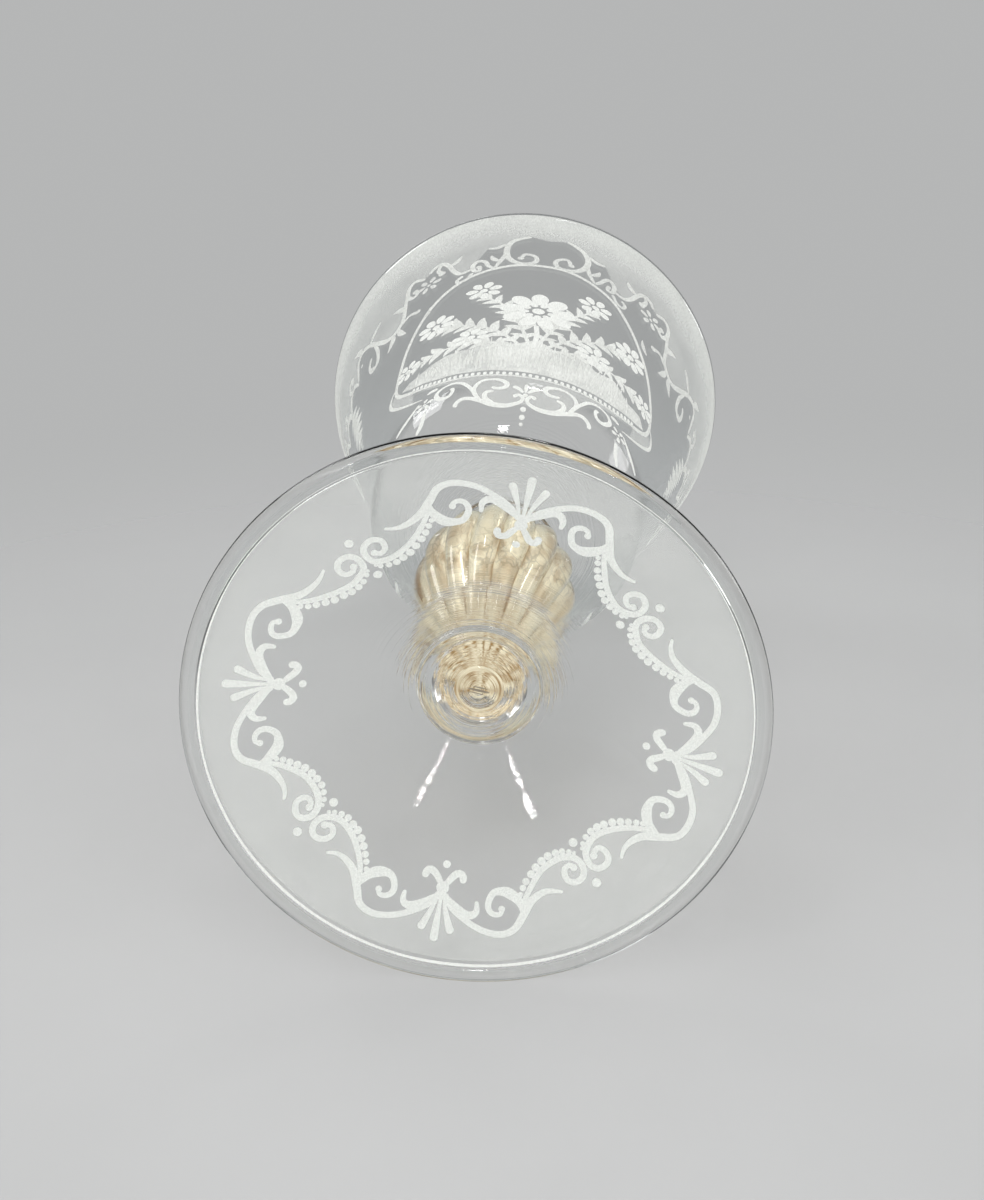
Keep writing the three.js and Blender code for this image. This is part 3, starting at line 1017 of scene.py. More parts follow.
def frosted(table, degrees, from_key, to_key, around, rows=16, lift=GROUND_LIFT):
    """A skin whose keys run from one border to the other in even rows at each angle."""
    share = np.linspace(0, 1, rows)
    low, high = (np.broadcast_to(k, len(degrees))[:, None] for k in (from_key, to_key))
    key = low * (1 - share) + high * share
    angle = np.broadcast_to(np.radians(degrees)[:, None], key.shape)
    outer = on_wall(table, angle, key, lift + GROUND_THICK)
    inner = on_wall(table, angle, key, lift)
    loops = np.concatenate((outer, inner[:, ::-1]), axis=1)
    faces = swept(loops, around, table["side"]).tolist()
    if not around:
        i = np.arange(rows - 1)
        strip = np.column_stack((i, i + 1, 2 * rows - 2 - i, 2 * rows - 1 - i))
        last = strip[:, ::-1] + (len(loops) - 1) * 2 * rows
        faces += strip[:, ::table["side"]].tolist() + last[:, ::table["side"]].tolist()
    return loops.reshape(-1, 3), faces


print("the ground is", GROUND_THICK, "mm thick and stands", GROUND_LIFT, "mm off the wall")

# %% [markdown]
# ## Matt cuts and dulled ground
# A cut scatters light back and, being thin, lets some through, so a diffuse and a translucent
# shader are mixed. The wheel leaves fine scratches across each cut, and they are a noise
# stretched along one direction. The dulled ground uses the same two shaders over about a sixth of
# its surface, and the rest passes unbent. Towards the bowl's rim that share grows, which paints
# the reflection on the flared rim as a pale band. A rough glass shader would be truer for the
# ground, but it turns the lamps into noise. The bowl's high band and the medallion's frame are cut
# more lightly than the rest, so they cover less.

# %% Engraving finishes
THROUGH_SHARE = 0.12
# Heights over which the painted reflection on the rim fades in.
RIM_SHEEN_HEIGHTS = (0.274, 0.303)


def matt_finish(name, cover, cover_spread, rim_sheen_cover=0.0, white=(0.86, 0.87, 0.84)):
    """Matt white over a share of the surface. The share wanders with a slow noise, and grows
    towards the bowl's rim by the rim share, which paints the rim's reflection as a pale band."""
    finish, tree = new_finish(name)
    place = add_node(tree, "ShaderNodeTexCoord").outputs["Object"]
    stretched = add_node(
        tree, "ShaderNodeMapping", _0=place, _2=(0.5, 0.9, 0.6), _3=(2600.0, 2600.0, 420.0),
    ).outputs[0]
    scratch = add_node(tree, "ShaderNodeTexNoise", Vector=stretched, Scale=1.0, Detail=2.0)
    tone = eased(tree, scratch.outputs[0], 0.30, 0.70)
    colour = add_node(
        tree, "ShaderNodeMix", {"data_type": "RGBA"}, _0=tone,
        _6=tuple(0.84 * c for c in white) + (1.0,), _7=white + (1.0,),
    ).outputs[2]
    back = add_node(tree, "ShaderNodeBsdfDiffuse", Color=colour, Roughness=0.6)
    through = add_node(tree, "ShaderNodeBsdfTranslucent", Color=colour)
    matt = add_node(
        tree, "ShaderNodeMixShader", _0=THROUGH_SHARE, _1=back.outputs[0], _2=through.outputs[0],
    ).outputs[0]
    if cover < 1:
        cloud = add_node(tree, "ShaderNodeTexNoise", Vector=place, Scale=70.0, Detail=4.0)
        speck = maths(tree, "MULTIPLY_ADD", tone, 0.05, -0.025)
        share = maths(
            tree, "ADD", speck,
            eased(tree, cloud.outputs[0], 0.3, 0.7, cover - cover_spread, cover + cover_spread),
        )
        # Painted reflection: the cover grows towards the rim, so the flared rim shows a pale band.
        if rim_sheen_cover:
            height = add_node(tree, "ShaderNodeSeparateXYZ", _0=place).outputs["Z"]
            share = maths(tree, "ADD", share, eased(tree, height, *RIM_SHEEN_HEIGHTS, 0.0, rim_sheen_cover))
        clear = add_node(tree, "ShaderNodeBsdfTransparent", Color=(0.98, 0.98, 0.98, 1.0))
        matt = add_node(
            tree, "ShaderNodeMixShader", _0=share, _1=clear.outputs[0], _2=matt,
        ).outputs[0]
    shader_out(tree, matt)
    return finish


cut_finish = matt_finish("matt_cut", 1.0, 0.0)
dulled_finish = matt_finish("dulled_ground", 0.17, 0.02)
# This ground carries the painted reflection on the bowl's rim.
ground_with_rim_sheen = matt_finish("dulled_ground_and_rim_sheen", 0.17, 0.03, 0.26)
hatched_finish = matt_finish("hatched_ground", 0.52, 0.22)
leafy_finish = matt_finish("veined_leaves", 0.78, 0.16)
shallow_finish = matt_finish("shallow_cut", 0.70, 0.08)
faint_finish = matt_finish("faint_cut", 0.56, 0.10)
print("seven engraving finishes")

# %% [markdown]
# ## The foot's ornament
# Four palmettes stand round the foot, and from each a stem runs out both ways, rolls into a
# volute, and throws a beaded arm to the middle of the quarter. It is an old pattern, so only half
# of one quarter is drawn: each point is (degrees from the palmette, radius in mm). The arm's end
# rolls in on a spiral, and its inner edge carries a string of beads that swell and shrink again.
# Both are worked out, because an eye sees a lump in a curl or a string at once.

# %% Curls and strings of beads
def curl(centre, out, to, start, turns, degree_mm, steps=8):
    """A spiral in (degrees, mm): centre + radius (cos, sin), the radius shrinking evenly."""
    share = np.linspace(0, 1, int(turns * steps) + 1)
    angle = math.radians(start) + 2 * np.pi * turns * share
    radius = out + (to - out) * share
    across = radius * np.cos(angle) / degree_mm
    return np.column_stack((centre[0] + across, centre[1] + radius * np.sin(angle)))


SMALLEST = 0.42


def bead_string(path, half_width, largest, degree_mm, count, span):
    """Beads that touch along a path's inner edge: sizes swell as a half sine, and each centre lies
    at half width + 0.8 radius from the path, square to it."""
    share = (np.arange(count) + 0.5) / count
    radius = largest * (SMALLEST + (1 - SMALLEST) * np.sin(math.pi * share))
    along = np.cumsum(2 * radius) - radius
    rows = eased_path(path) * (degree_mm, 1)
    gone = np.concatenate(([0], np.cumsum(np.linalg.norm(np.diff(rows, axis=0), axis=1))))
    place = gone[-1] * (span[0] + (span[1] - span[0]) * along / (2 * radius.sum()))
    way = np.gradient(rows, axis=0)
    way /= np.linalg.norm(way, axis=1, keepdims=True)
    x, y, run, rise = (np.interp(place, gone, v) for v in (*rows.T, *way.T))
    off = half_width + 0.8 * radius
    return list(zip(zip((x + rise * off) / degree_mm, y - run * off), radius))


# %% [markdown]
# The strokes of half a quarter follow, each with its half-widths in millimetres. The arm and its
# beads come from the two helpers, and the rest are listed points. A degree is worth about
# 0.86 mm at the ring where the arm lies.

# %% One eighth of the foot's ornament
DEGREE_MM = 0.864
ARM = np.vstack((
    [(24.4, 55.6), (25.4, 53.2), (28.4, 50.0), (33.0, 46.9), (38.2, 45.3)],
    curl((42.2, 49.4), 4.0, 1.35, -88, 1.15, DEGREE_MM),
))
ARM_WIDTHS = np.interp(
    np.arange(len(ARM)), (0, 2, 5, 9, len(ARM) - 1), (0.5, 0.72, 0.86, 0.80, 0.66),
)
FOOT_CUTS = [
    ([(1.3, 52.2), (3.2, 55.3), (8.5, 58.8), (12.8, 60.8), (17.3, 61.5), (21.0, 60.5),
      (23.9, 57.2), (27.3, 53.8), (31.4, 52.3), (34.7, 52.4), (37.2, 53.5)],
     (0.5, 0.65, 0.78, 0.82, 0.86, 0.92, 1.0, 1.0, 0.8, 0.55, 0.35)),
    ([(24.4, 57.0), (24.0, 54.7), (22.9, 52.7), (20.8, 51.1), (18.4, 50.6), (16.0, 51.1),
      (14.4, 53.2), (14.4, 55.0), (15.7, 56.2), (17.5, 56.3), (18.4, 55.2)],
     (0.6, 0.95, 1.25, 1.42, 1.1, 0.9, 0.82, 0.8, 0.74, 0.66, 0.62)),
    ([(2.0, 52.9), (4.7, 54.9), (8.3, 57.0), (10.7, 56.0), (11.0, 53.2)],
     (0.3, 0.65, 1.05, 0.85, 0.45)),
    ([(0.9, 53.2), (2.2, 57.2), (4.2, 62.3)], (0.3, 0.62, 1.08)),
    ([(0.9, 50.0), (2.1, 48.7), (3.7, 47.2), (5.5, 46.8), (6.5, 48.0), (5.8, 49.1)],
     (0.75, 0.86, 0.95, 1.0, 0.95, 0.9)),
    (ARM, ARM_WIDTHS),
]
ARM_BEADS = bead_string(ARM[:7], 0.84, 1.12, DEGREE_MM, 12, (0.06, 1.0))
FOOT_BEADS = [((18.3, 55.1), 0.9), (tuple(ARM[-1]), 0.95)] + ARM_BEADS
PALMETTE_CUTS = [
    ([(0, 52.4), (0, 56.6), (0, 61.5), (0, 65.0)], (0.3, 0.58, 0.95, 1.12)),
    ([(0, 50.2), (0, 52.3), (0, 54.2)], (1.0, 1.2, 0.75)),
]
PALMETTE_BEADS = [((0, 51.0), 1.72), ((0, 45.1), 1.05), ((47.3, 54.5), 1.2), ((47.3, 43.0), 1.2)]
GROUND_EDGE = np.array([
    (0, 51.0), (0.8, 51.5), (3.0, 55.2), (8.5, 58.8), (12.8, 60.8), (17.3, 61.5), (21.0, 60.5),
    (23.9, 57.2), (25.1, 53.6), (28.4, 50.0), (33.0, 47.0), (38.0, 45.4), (43.0, 45.6),
    (46.8, 47.6), (47.3, 47.9),
])
PALMETTES = (-76.0, 14.5, 101.0, 187.5)
HALF_SPANS = (45.25, 43.25, 43.25, 48.25)
PALMETTE_OUT = (0.0, 0.0, 1.2, 0.0)
ARM_OUT = (0.0, 3.0, 4.0, 0.0)
DRAWN_SPAN = 47.3
FOOT_BROAD = 1.03
GROUND_OUT = 70.3

print(len(FOOT_CUTS), "strokes and", len(FOOT_BEADS), "beads in each eighth")

# %% [markdown]
# The engraver's eye divided the circle, so the four quarters are not equal, and no two halves match
# exactly. A seeded random hand moves every point by about a tenth of a millimetre, so the foot is
# the same each time that this script runs. The dulled ground fills the ring outside the scrolls.

# %% The whole foot
hand = np.random.default_rng(12)
FOOT_WANDER, FOOT_BEAD_WANDER = (0.10, 0.08), (0.08, 0.06)
FOOT_GROUND_ROWS, FOOT_GROUND_LIFT = 26, 0.046


def sway(path, quarter, way):
    """Half a quarter in its place: the radius grows evenly from palmette to arm end."""
    span = HALF_SPANS[quarter] if way > 0 else HALF_SPANS[quarter - 1]
    arm = ARM_OUT[quarter] if way > 0 else ARM_OUT[quarter - 1]
    root = PALMETTE_OUT[quarter]
    path = np.asarray(path, float)
    share = path[..., 0] / DRAWN_SPAN
    return np.stack((
        PALMETTES[quarter] + way * span * share, path[..., 1] + root + (arm - root) * share,
    ), -1)


def led_by_hand(path, wander):
    """Each point strays a little: degrees and millimetres from a normal spread."""
    path = np.array(path, float)
    return path + hand.normal(0, 1, path.shape) * wander


foot_parts = []
ground_edges = []
for quarter, middle in enumerate(PALMETTES):
    for way in (-1, 1):
        for path, widths in FOOT_CUTS:
            strayed = sway(led_by_hand(path, FOOT_WANDER), quarter, way)
            foot_parts.append(cut(foot_wall, strayed, np.array(widths) * FOOT_BROAD))
        for at, radius in FOOT_BEADS:
            at = sway(led_by_hand(at, FOOT_BEAD_WANDER), quarter, way)
            foot_parts.append(bead(foot_wall, at, radius))
        drawn = np.arange(0.4, DRAWN_SPAN, 0.8)[::way]
        edge_radius = np.interp(drawn, *GROUND_EDGE.T)
        ground_edges.append(sway(np.column_stack((drawn, edge_radius)), quarter, way))
    for path, widths in PALMETTE_CUTS:
        foot_parts.append(cut(foot_wall, sway(path, quarter, 1), widths))
    for at, radius in PALMETTE_BEADS:
        foot_parts.append(bead(foot_wall, sway(at, quarter, 1), radius))
engraved("foot_engraving", foot_parts, cut_finish)
ground_edges = np.vstack(ground_edges)
foot_ground = frosted(
    foot_wall, *ground_edges.T, GROUND_OUT, True, FOOT_GROUND_ROWS, FOOT_GROUND_LIFT,
)
engraved("foot_dulled_ground", [foot_ground], dulled_finish)

# %% [markdown]
# Where the iron was cracked off under the foot, the glass keeps a scar: a few dark slits side by
# side in the middle of the hollow.

# %% Pontil scar
SCAR_TURN = math.radians(14)
SCAR_POINTS = 20
SCAR_BELOW = (0.01, 0.05)
SLITS = ((-0.75, 0.2, 2.0, 0.20), (0.1, 0.0, 2.9, 0.36), (0.95, -0.5, 1.7, 0.18))
scar_height = soffit - PONTIL_DEEP
cosine, sine = math.cos(SCAR_TURN), math.sin(SCAR_TURN)
round_slit = np.linspace(0, 2 * np.pi, SCAR_POINTS, endpoint=False)
slits = []
for aside, shift, long, half in SLITS:
    flat = np.column_stack((long * np.cos(round_slit) + shift, half * np.sin(round_slit) + aside))
    turned = flat @ np.array(((cosine, sine), (-sine, cosine)))
    rings = [
        np.column_stack((turned, np.full(SCAR_POINTS, scar_height - below))) for below in SCAR_BELOW
    ]
    wall = swept(np.stack(rings), False, 1).tolist()
    upper_cap = list(range(SCAR_POINTS))
    lower_cap = list(range(2 * SCAR_POINTS - 1, SCAR_POINTS - 1, -1))
    slits.append((np.vstack(rings), wall + [upper_cap, lower_cap]))
scar_finish = matt_finish("dark_scar", 0.80, 0.08, white=(0.30, 0.26, 0.20))
engraved("pontil_scar", slits, scar_finish)

# %% [markdown]
# The folded edge never quite closes on the sheet above it. Where its lip lies, the trapped air
# and the tool have left a pale, wavering line all round, which is modelled as a thin flat ring.
# It is matt white all over, so it also stands for the bright reflection along the fold's lip:
# partly a real seam, partly a painted highlight.

# %% The fold's pale line
seam_turns = np.radians(np.arange(0, 360, 1.5))
seam_wave = 0.05 * np.sin(seam_turns * 7) + 0.04 * np.sin(seam_turns * 17 + 1)
seam_in, seam_out = fold_in + 0.10 + seam_wave, fold_in + 0.95 + seam_wave * 0.6
seam_low, seam_high = FOLD_SHEET + 0.10, FOLD_SHEET + 0.22
seam_corners = (
    (seam_in, seam_low), (seam_out, seam_low), (seam_out, seam_high), (seam_in, seam_high),
)
seam_rings = [
    np.column_stack((r * np.cos(seam_turns), r * np.sin(seam_turns), np.full(len(r), z)))
    for r, z in seam_corners
]
seam_loops = np.stack(seam_rings, axis=1)
seam = (seam_loops.reshape(-1, 3), swept(seam_loops, True, 1).tolist())
# Matt white ring: the rough seam and a painted highlight along the fold's lip.
engraved("fold_seam_and_painted_highlight", [seam], cut_finish)

# %% [markdown]
# ## The bowl's ornament
# The bowl carries two bands of scrolls: one low, on the shoulder, and one high, that sends arms
# down both sides. Points are (degrees from the middle of the front, height in mm), and again one
# half is drawn and mirrored. The low band hangs below a beaded line, which is also the base of the
# medallion's frame. Both bands are carried on round the back in the same way.

# %% The low band as drawn
FRONT = -80.5
LOW_CUTS = [
    ([(31.3, 159.6), (30.4, 160.8), (27.5, 161.7), (24.1, 161.3), (20.4, 159.8), (14.7, 158.2),
      (8.8, 157.7), (4.2, 158.0), (1.6, 159.0), (1.2, 160.3), (2.8, 161.2), (5.0, 160.4)],
     (0.8, 0.62, 0.6, 0.6, 0.65, 0.75, 0.65, 0.55, 0.5, 0.5, 0.5, 0.62)),
    ([(20.2, 160.2), (21.6, 162.4), (22.0, 164.6), (20.6, 167.4), (17.9, 169.4), (14.4, 169.6),
      (10.9, 168.7), (8.3, 167.0), (8.0, 164.9), (10.0, 163.8), (13.0, 164.1), (14.4, 164.9)],
     (0.5, 0.6, 0.62, 0.6, 0.6, 0.6, 0.68, 0.75, 0.7, 0.6, 0.5, 0.42)),
    ([(14.0, 158.2), (17.0, 160.0), (17.2, 161.8), (15.6, 162.7), (13.4, 162.6)],
     (0.55, 0.72, 0.6, 0.5, 0.38)),
    ([(21.8, 162.6), (23.6, 166.4), (27.0, 171.2), (30.5, 173.6), (34.0, 173.9), (37.2, 172.6),
      (38.6, 169.6), (37.4, 166.6), (34.6, 165.3), (32.0, 165.9), (31.0, 168.2), (31.8, 170.2)],
     (0.5, 0.55, 0.62, 0.62, 0.6, 0.66, 0.74, 0.74, 0.66, 0.6, 0.56, 0.66)),
    ([(38.1, 175.0), (40.4, 175.8), (43.0, 175.6)], (0.6, 0.95, 0.55)),
    ([(0.9, 162.4), (3.6, 164.3), (5.8, 164.8)], (0.35, 0.66, 0.5)),
    ([(47.0, 171.8), (49.6, 169.3), (54.5, 167.0), (61.8, 164.6)], (0.4, 0.6, 0.75, 0.4)),
    ([(45.0, 163.6), (48.0, 160.4), (52.6, 158.6)], (0.6, 0.7, 0.4)),
]
LOW_GROUND = np.array([
    (0, 158.2), (9.0, 157.8), (14.7, 158.3), (20.2, 159.9), (21.8, 163.0), (23.6, 166.6),
    (27.0, 171.3), (30.5, 173.7), (35.0, 176.2), (42.0, 179.6), (50.0, 186.3),
])
LOW_BROAD = 1.2
NOTCH_GAP, NOTCH_TALL, NOTCH_HALF = 2.1, 2.4, 0.62
BEAD_LINE = np.array([
    (0, 172.2), (10.7, 172.8), (24.0, 175.3), (37.5, 179.8), (51.0, 187.6), (61.8, 196.5),
])
BEADED = BEAD_LINE[:5]
print(len(LOW_CUTS), "strokes in each quarter of the low band")

# %% [markdown]
# Three helpers serve both bands. One mirrors a half. One sets points at even distances along a
# line, for the row of notches that looks like beads. One draws a flower as petals round a bead,
# which is how a wheel makes it: each petal is one touch.

# %% Mirrored, spaced and flower
PETAL_OUT = np.array((0.5, 0.75, 1.0))
PETAL_SWELL = np.array((0.35, 0.8, 1.0, 0.55))


def mirrored(path):
    """A half drawn from the middle outwards, with its mirror image before it."""
    path = np.asarray(path, float)
    return np.vstack((path[:0:-1] * (-1, 1), path))


def spaced(table, path, gap):
    """Points at even distances along the wall on the eased curve of a path."""
    rows = eased_path(path)
    found = look_up(table, rows[:, 1])
    middle = (found[1:] + found[:-1]) / 2
    turned, raised = np.radians(np.diff(rows[:, 0])), np.diff(rows[:, 1])
    step = np.hypot(turned * middle[:, 0], raised * middle[:, 4])
    gone = np.concatenate(([0], np.cumsum(step)))
    where = np.arange(gap / 2, gone[-1], gap)
    return np.column_stack([np.interp(where, gone, c) for c in rows.T])


def flower(table, at, reach, petals, width, heart, start=90.0, inner=0.3):
    """Petals on a circle round a bead: each runs from inner * reach to reach and swells."""
    found = look_up(table, at[1])
    worth = np.array((math.degrees(1 / found[0]), 1 / found[4]))
    turns = np.radians(start + np.arange(petals) * 360 / petals)
    out = np.concatenate(([inner], PETAL_OUT))
    swell = PETAL_SWELL * width
    parts = []
    for turned in turns:
        path = np.outer(out * reach, (math.cos(turned), math.sin(turned))) * worth + at
        parts.append(cut(table, path, swell, 0.7))
    return parts + [bead(table, at, heart)]


# %% [markdown]
# Now the low band is cut, in front and again at the back. Its middle is a short stem on a bead,
# with three beads hanging below it, and the notches stand on the bead line.

# %% The low band as cut
BOWL_WANDER = (0.12, 0.08)
SMALL_FLOWER = {"reach": 3.6, "petals": 5, "width": 0.8, "heart": 0.6}
MIDDLE_STEM = [(0, 162.4), (0, 164.6), (0, 166.6)]
MIDDLE_BEADS = ((161.4, 0.75), (157.0, 0.95), (155.2, 0.9), (153.9, 0.6))
NOTCH_LOW = 0.6
low_parts = []
for facing in (FRONT, FRONT + 180):
    for way in (-1, 1):
        for path, widths in LOW_CUTS:
            strayed = led_by_hand(path, BOWL_WANDER) * (way, 1) + (facing, 0)
            low_parts.append(cut(bowl_wall, strayed, np.array(widths) * LOW_BROAD, 0.6))
        at = (facing + way * 44.5, 168.5)
        low_parts += flower(bowl_wall, at, start=70 * way, **SMALL_FLOWER)
    stem = np.array(MIDDLE_STEM) + (facing, 0)
    low_parts.append(cut(bowl_wall, stem, (0.35, 0.6, 0.55), 0.6))
    for height, size in MIDDLE_BEADS:
        low_parts.append(bead(bowl_wall, (facing, height), size))
    for at in spaced(bowl_wall, mirrored(BEADED) + (facing, 0), NOTCH_GAP):
        notch = [at + (0, NOTCH_LOW), at + (0, NOTCH_LOW + NOTCH_TALL)]
        low_parts.append(cut(bowl_wall, notch, NOTCH_HALF, 0.8))
engraved("bowl_low_band", low_parts, cut_finish)

LOW_SPAN = 50
low_degrees = np.arange(-LOW_SPAN, LOW_SPAN + 0.1, 1.0)
bead_height = np.interp(abs(low_degrees), *BEAD_LINE.T)
ground_height = np.interp(abs(low_degrees), *LOW_GROUND.T)
low_grounds = [
    frosted(bowl_wall, facing + low_degrees, ground_height, bead_height, False)
    for facing in (FRONT, FRONT + 180)
]
engraved("bowl_low_ground", low_grounds, dulled_finish)

# %% [markdown]
# Leaves are single broad cuts, the way a wheel makes them, so one helper draws a leaf between two
# points with a bend, and a second sets pairs of leaves along a stem.

# %% Leaf and frond
LEAF_ALONG = np.array((0, 0.25, 0.5, 0.8, 1.0))[:, None]
LEAF_SWELL = np.array((0.25, 0.85, 1.0, 0.6, 0.14))


def leaf(table, start, end, bend, width):
    """A broad cut on the curve through start, a middle pushed aside by bend mm, and end."""
    start, end = np.array(start, float), np.array(end, float)
    found = look_up(table, start[1])
    worth = np.array((math.degrees(1 / found[0]), 1 / found[4]))
    run = (end - start) / worth
    aside = np.array((-run[1], run[0])) / np.hypot(*run) * bend
    along = LEAF_ALONG
    path = start + (end - start) * along + aside * worth * 4 * along * (1 - along)
    return cut(table, path, LEAF_SWELL * width, 0.8)


def frond(table, path, pairs, reach):
    """A bent stem with pairs of leaves that shorten towards its tip."""
    rows = eased_path(path)
    parts = [cut(table, rows[::4], np.linspace(0.75, 0.35, len(rows[::4])))]
    for share in np.linspace(0.12, 1.0, pairs):
        i = min(int(share * (len(rows) - 1)), len(rows) - 2)
        found = look_up(table, rows[i, 1])
        worth = np.array((math.degrees(1 / found[0]), 1 / found[4]))
        ahead = (rows[i + 1] - rows[i]) / worth
        heading = math.atan2(ahead[1], ahead[0])
        long = reach * (0.62 + 0.38 * math.sin(math.pi * share)) * hand.uniform(0.88, 1.08)
        for side in (-1, 1):
            turned = heading + side * math.radians(52 - 14 * share)
            tip = rows[i] + np.array((math.cos(turned), math.sin(turned))) * long * worth
            parts.append(leaf(table, rows[i], tip, -side * long * 0.14, long * 0.20))
    return parts


# %% [markdown]
# The high band hangs from the rim's dulled zone. Its middle is a pair of C scrolls, then a leaf, a
# small volute and an arm with a flower, and at the side a long arm with a curl. Where the front's
# arms meet those of the back, a leafy pendant hangs.

# %% The high band as drawn
HIGH_CUTS = [
    ([(8.0, 267.0), (6.8, 269.9), (3.8, 268.8), (3.0, 265.6), (4.5, 262.6), (7.7, 262.2),
      (10.7, 264.2), (12.6, 268.8), (12.9, 274.2), (11.6, 279.4), (9.0, 282.4), (5.5, 284.2)],
     (0.6, 0.6, 0.6, 0.7, 0.75, 0.75, 0.8, 0.85, 0.85, 0.8, 0.7, 0.5)),
    ([(18.9, 276.4), (16.0, 276.0), (13.2, 278.2)], (0.35, 0.7, 0.5)),
    ([(16.8, 259.7), (14.6, 265.5), (12.9, 271.5)], (0.4, 0.65, 0.6)),
    ([(17.0, 260.0), (18.6, 262.8), (19.6, 266.0), (21.6, 267.8), (23.6, 265.2), (23.4, 261.0),
      (21.8, 260.2), (21.4, 262.8)],
     (0.45, 0.6, 0.65, 0.7, 0.7, 0.65, 0.6, 0.6)),
    ([(23.8, 262.4), (27.8, 261.6), (30.2, 265.6), (32.1, 272.2), (34.2, 275.6), (36.8, 274.9),
      (38.6, 272.4)],
     (0.5, 0.65, 0.7, 0.7, 0.75, 0.7, 0.5)),
    ([(40.3, 270.8), (43.9, 273.8), (46.8, 271.6), (47.5, 266.4), (45.9, 262.4), (44.0, 263.2),
      (44.4, 266.4)],
     (0.5, 0.7, 0.75, 0.75, 0.7, 0.65, 0.7)),
    ([(47.3, 269.0), (48.6, 262.6), (49.9, 256.5), (50.9, 251.0), (54.6, 247.2), (59.0, 248.2),
      (64.0, 255.4), (67.4, 262.2), (71.6, 266.4), (75.4, 265.6), (77.2, 259.6), (78.6, 254.8)],
     (0.5, 0.6, 0.65, 0.75, 0.85, 0.85, 0.8, 0.75, 0.75, 0.75, 0.6, 0.4)),
    ([(60.2, 268.0), (64.0, 265.4), (67.6, 262.6)], (0.4, 0.8, 0.5)),
    ([(44.7, 248.8), (48.0, 250.9), (51.6, 249.0)], (0.7, 0.6, 0.5)),
    ([(34.2, 275.4), (35.6, 271.8), (34.6, 268.4)], (0.6, 0.6, 0.9)),
    ([(23.9, 259.4), (25.8, 255.8), (28.3, 254.6), (29.2, 257.0), (27.4, 259.0)], 0.55),
    ([(65.4, 257.6), (64.6, 249.0), (66.2, 242.6), (69.6, 242.8), (70.6, 247.8), (68.6, 252.0)],
     (0.5, 0.75, 0.85, 0.8, 0.65, 0.6)),
    ([(78.9, 253.6), (81.6, 258.6), (85.2, 259.6), (88.4, 256.2), (90.0, 251.0)],
     (0.4, 0.7, 0.8, 0.8, 0.65)),
    ([(84.0, 259.6), (85.6, 264.6), (83.6, 267.6), (81.4, 265.8), (82.4, 263.2)],
     (0.5, 0.65, 0.7, 0.65, 0.6)),
]
HIGH_LEAVES = [
    ((49.6, 257.0), (54.4, 263.0), 1.2, 1.5), ((56.4, 247.2), (60.4, 239.0), -1.2, 1.5),
    ((53.4, 247.6), (50.6, 239.5), 1.0, 1.3), ((72.4, 266.4), (76.2, 273.6), 1.2, 1.4),
    ((31.6, 271.0), (27.4, 275.6), 1.0, 1.2), ((43.4, 239.6), (39.6, 246.0), 0.8, 1.1),
    ((14.9, 265.0), (17.6, 270.4), -0.9, 1.1),
]
PENDANT = [(90.0, 252.0), (90.0, 240.0), (90.0, 225.0)]
HIGH_BROAD = 1.35
HIGH_BEADS = [
    ((34.4, 267.8), 1.5), ((44.6, 265.8), 1.3), ((21.8, 262.9), 1.0), ((44.7, 248.8), 1.3),
    ((69.4, 243.4), 1.3), ((8.2, 266.6), 1.2), ((74.2, 259.4), 0.8),
]
HIGH_GROUND = np.array([
    (0, 282.0), (5.5, 284.2), (9.0, 282.4), (11.6, 279.4), (13.0, 278.0), (18.9, 276.4),
    (23.6, 265.0), (27.8, 261.6), (30.2, 265.6), (33.8, 275.6), (38.3, 272.6), (40.3, 270.8),
    (43.9, 273.8), (46.8, 271.6), (48.6, 262.6), (50.9, 251.0), (54.6, 247.2), (59.0, 248.2),
    (64.0, 255.4), (67.4, 262.2), (71.6, 266.4), (75.4, 265.6), (77.2, 259.6), (78.8, 254.4),
    (82.6, 258.6), (85.6, 256.6), (90.0, 252.0),
])

print(len(HIGH_CUTS), "strokes in each quarter of the high band")

# %% [markdown]
# The band is cut like the low one. The ground above it starts at the scrolls, so its lower border
# is read from the drawing at each degree, and its upper border is a circle just below the rim.

# %% The high band as cut
HIGH_WANDER, PENDANT_WANDER = (0.12, 0.18), (0.2, 0.3)
PENDANT_BEADS = ((220.5, 1.5), (216.6, 1.0))
RIM_GROUND_TOP, RIM_GROUND_ROWS = 303.2, 24
high_parts = []
high_degrees, high_from = [], []
for facing in (FRONT, FRONT + 180):
    for way in (-1, 1):
        for path, widths in HIGH_CUTS:
            strayed = led_by_hand(path, HIGH_WANDER) * (way, 1) + (facing, 0)
            high_parts.append(cut(bowl_wall, strayed, np.array(widths) * HIGH_BROAD))
        for at, radius in HIGH_BEADS:
            high_parts.append(bead(bowl_wall, np.array(at) * (way, 1) + (facing, 0), radius))
        for start, end, bend, width in HIGH_LEAVES:
            start, end = (np.array(p) * (way, 1) + (facing, 0) for p in (start, end))
            high_parts.append(leaf(bowl_wall, start, end, bend * way, width))
        high_parts += flower(bowl_wall, (facing + way * 39.4, 264.0), 5.2, 6, 1.1, 0.8, 60 * way)
        drawn = np.arange(0.5, 90, 1.0)[::way]
        high_degrees.append(facing + way * drawn)
        high_from.append(np.interp(drawn, *HIGH_GROUND.T))
    pendant = led_by_hand(PENDANT, PENDANT_WANDER) + (facing, 0)
    high_parts += frond(bowl_wall, pendant, 6, 9.5)
    high_parts += [bead(bowl_wall, (facing + 90, height), size) for height, size in PENDANT_BEADS]
engraved("bowl_high_band", high_parts, faint_finish)
rim_ground = frosted(
    bowl_wall, np.concatenate(high_degrees), np.concatenate(high_from), RIM_GROUND_TOP, True,
    RIM_GROUND_ROWS,
)
engraved("bowl_rim_ground", [rim_ground], ground_with_rim_sheen)

# %% [markdown]
# ## The medallion
# A frame like a low arch takes up the front of the bowl. Its lower corners are rounded, and a
# second line runs round outside each of them, with a dulled strip between the two.

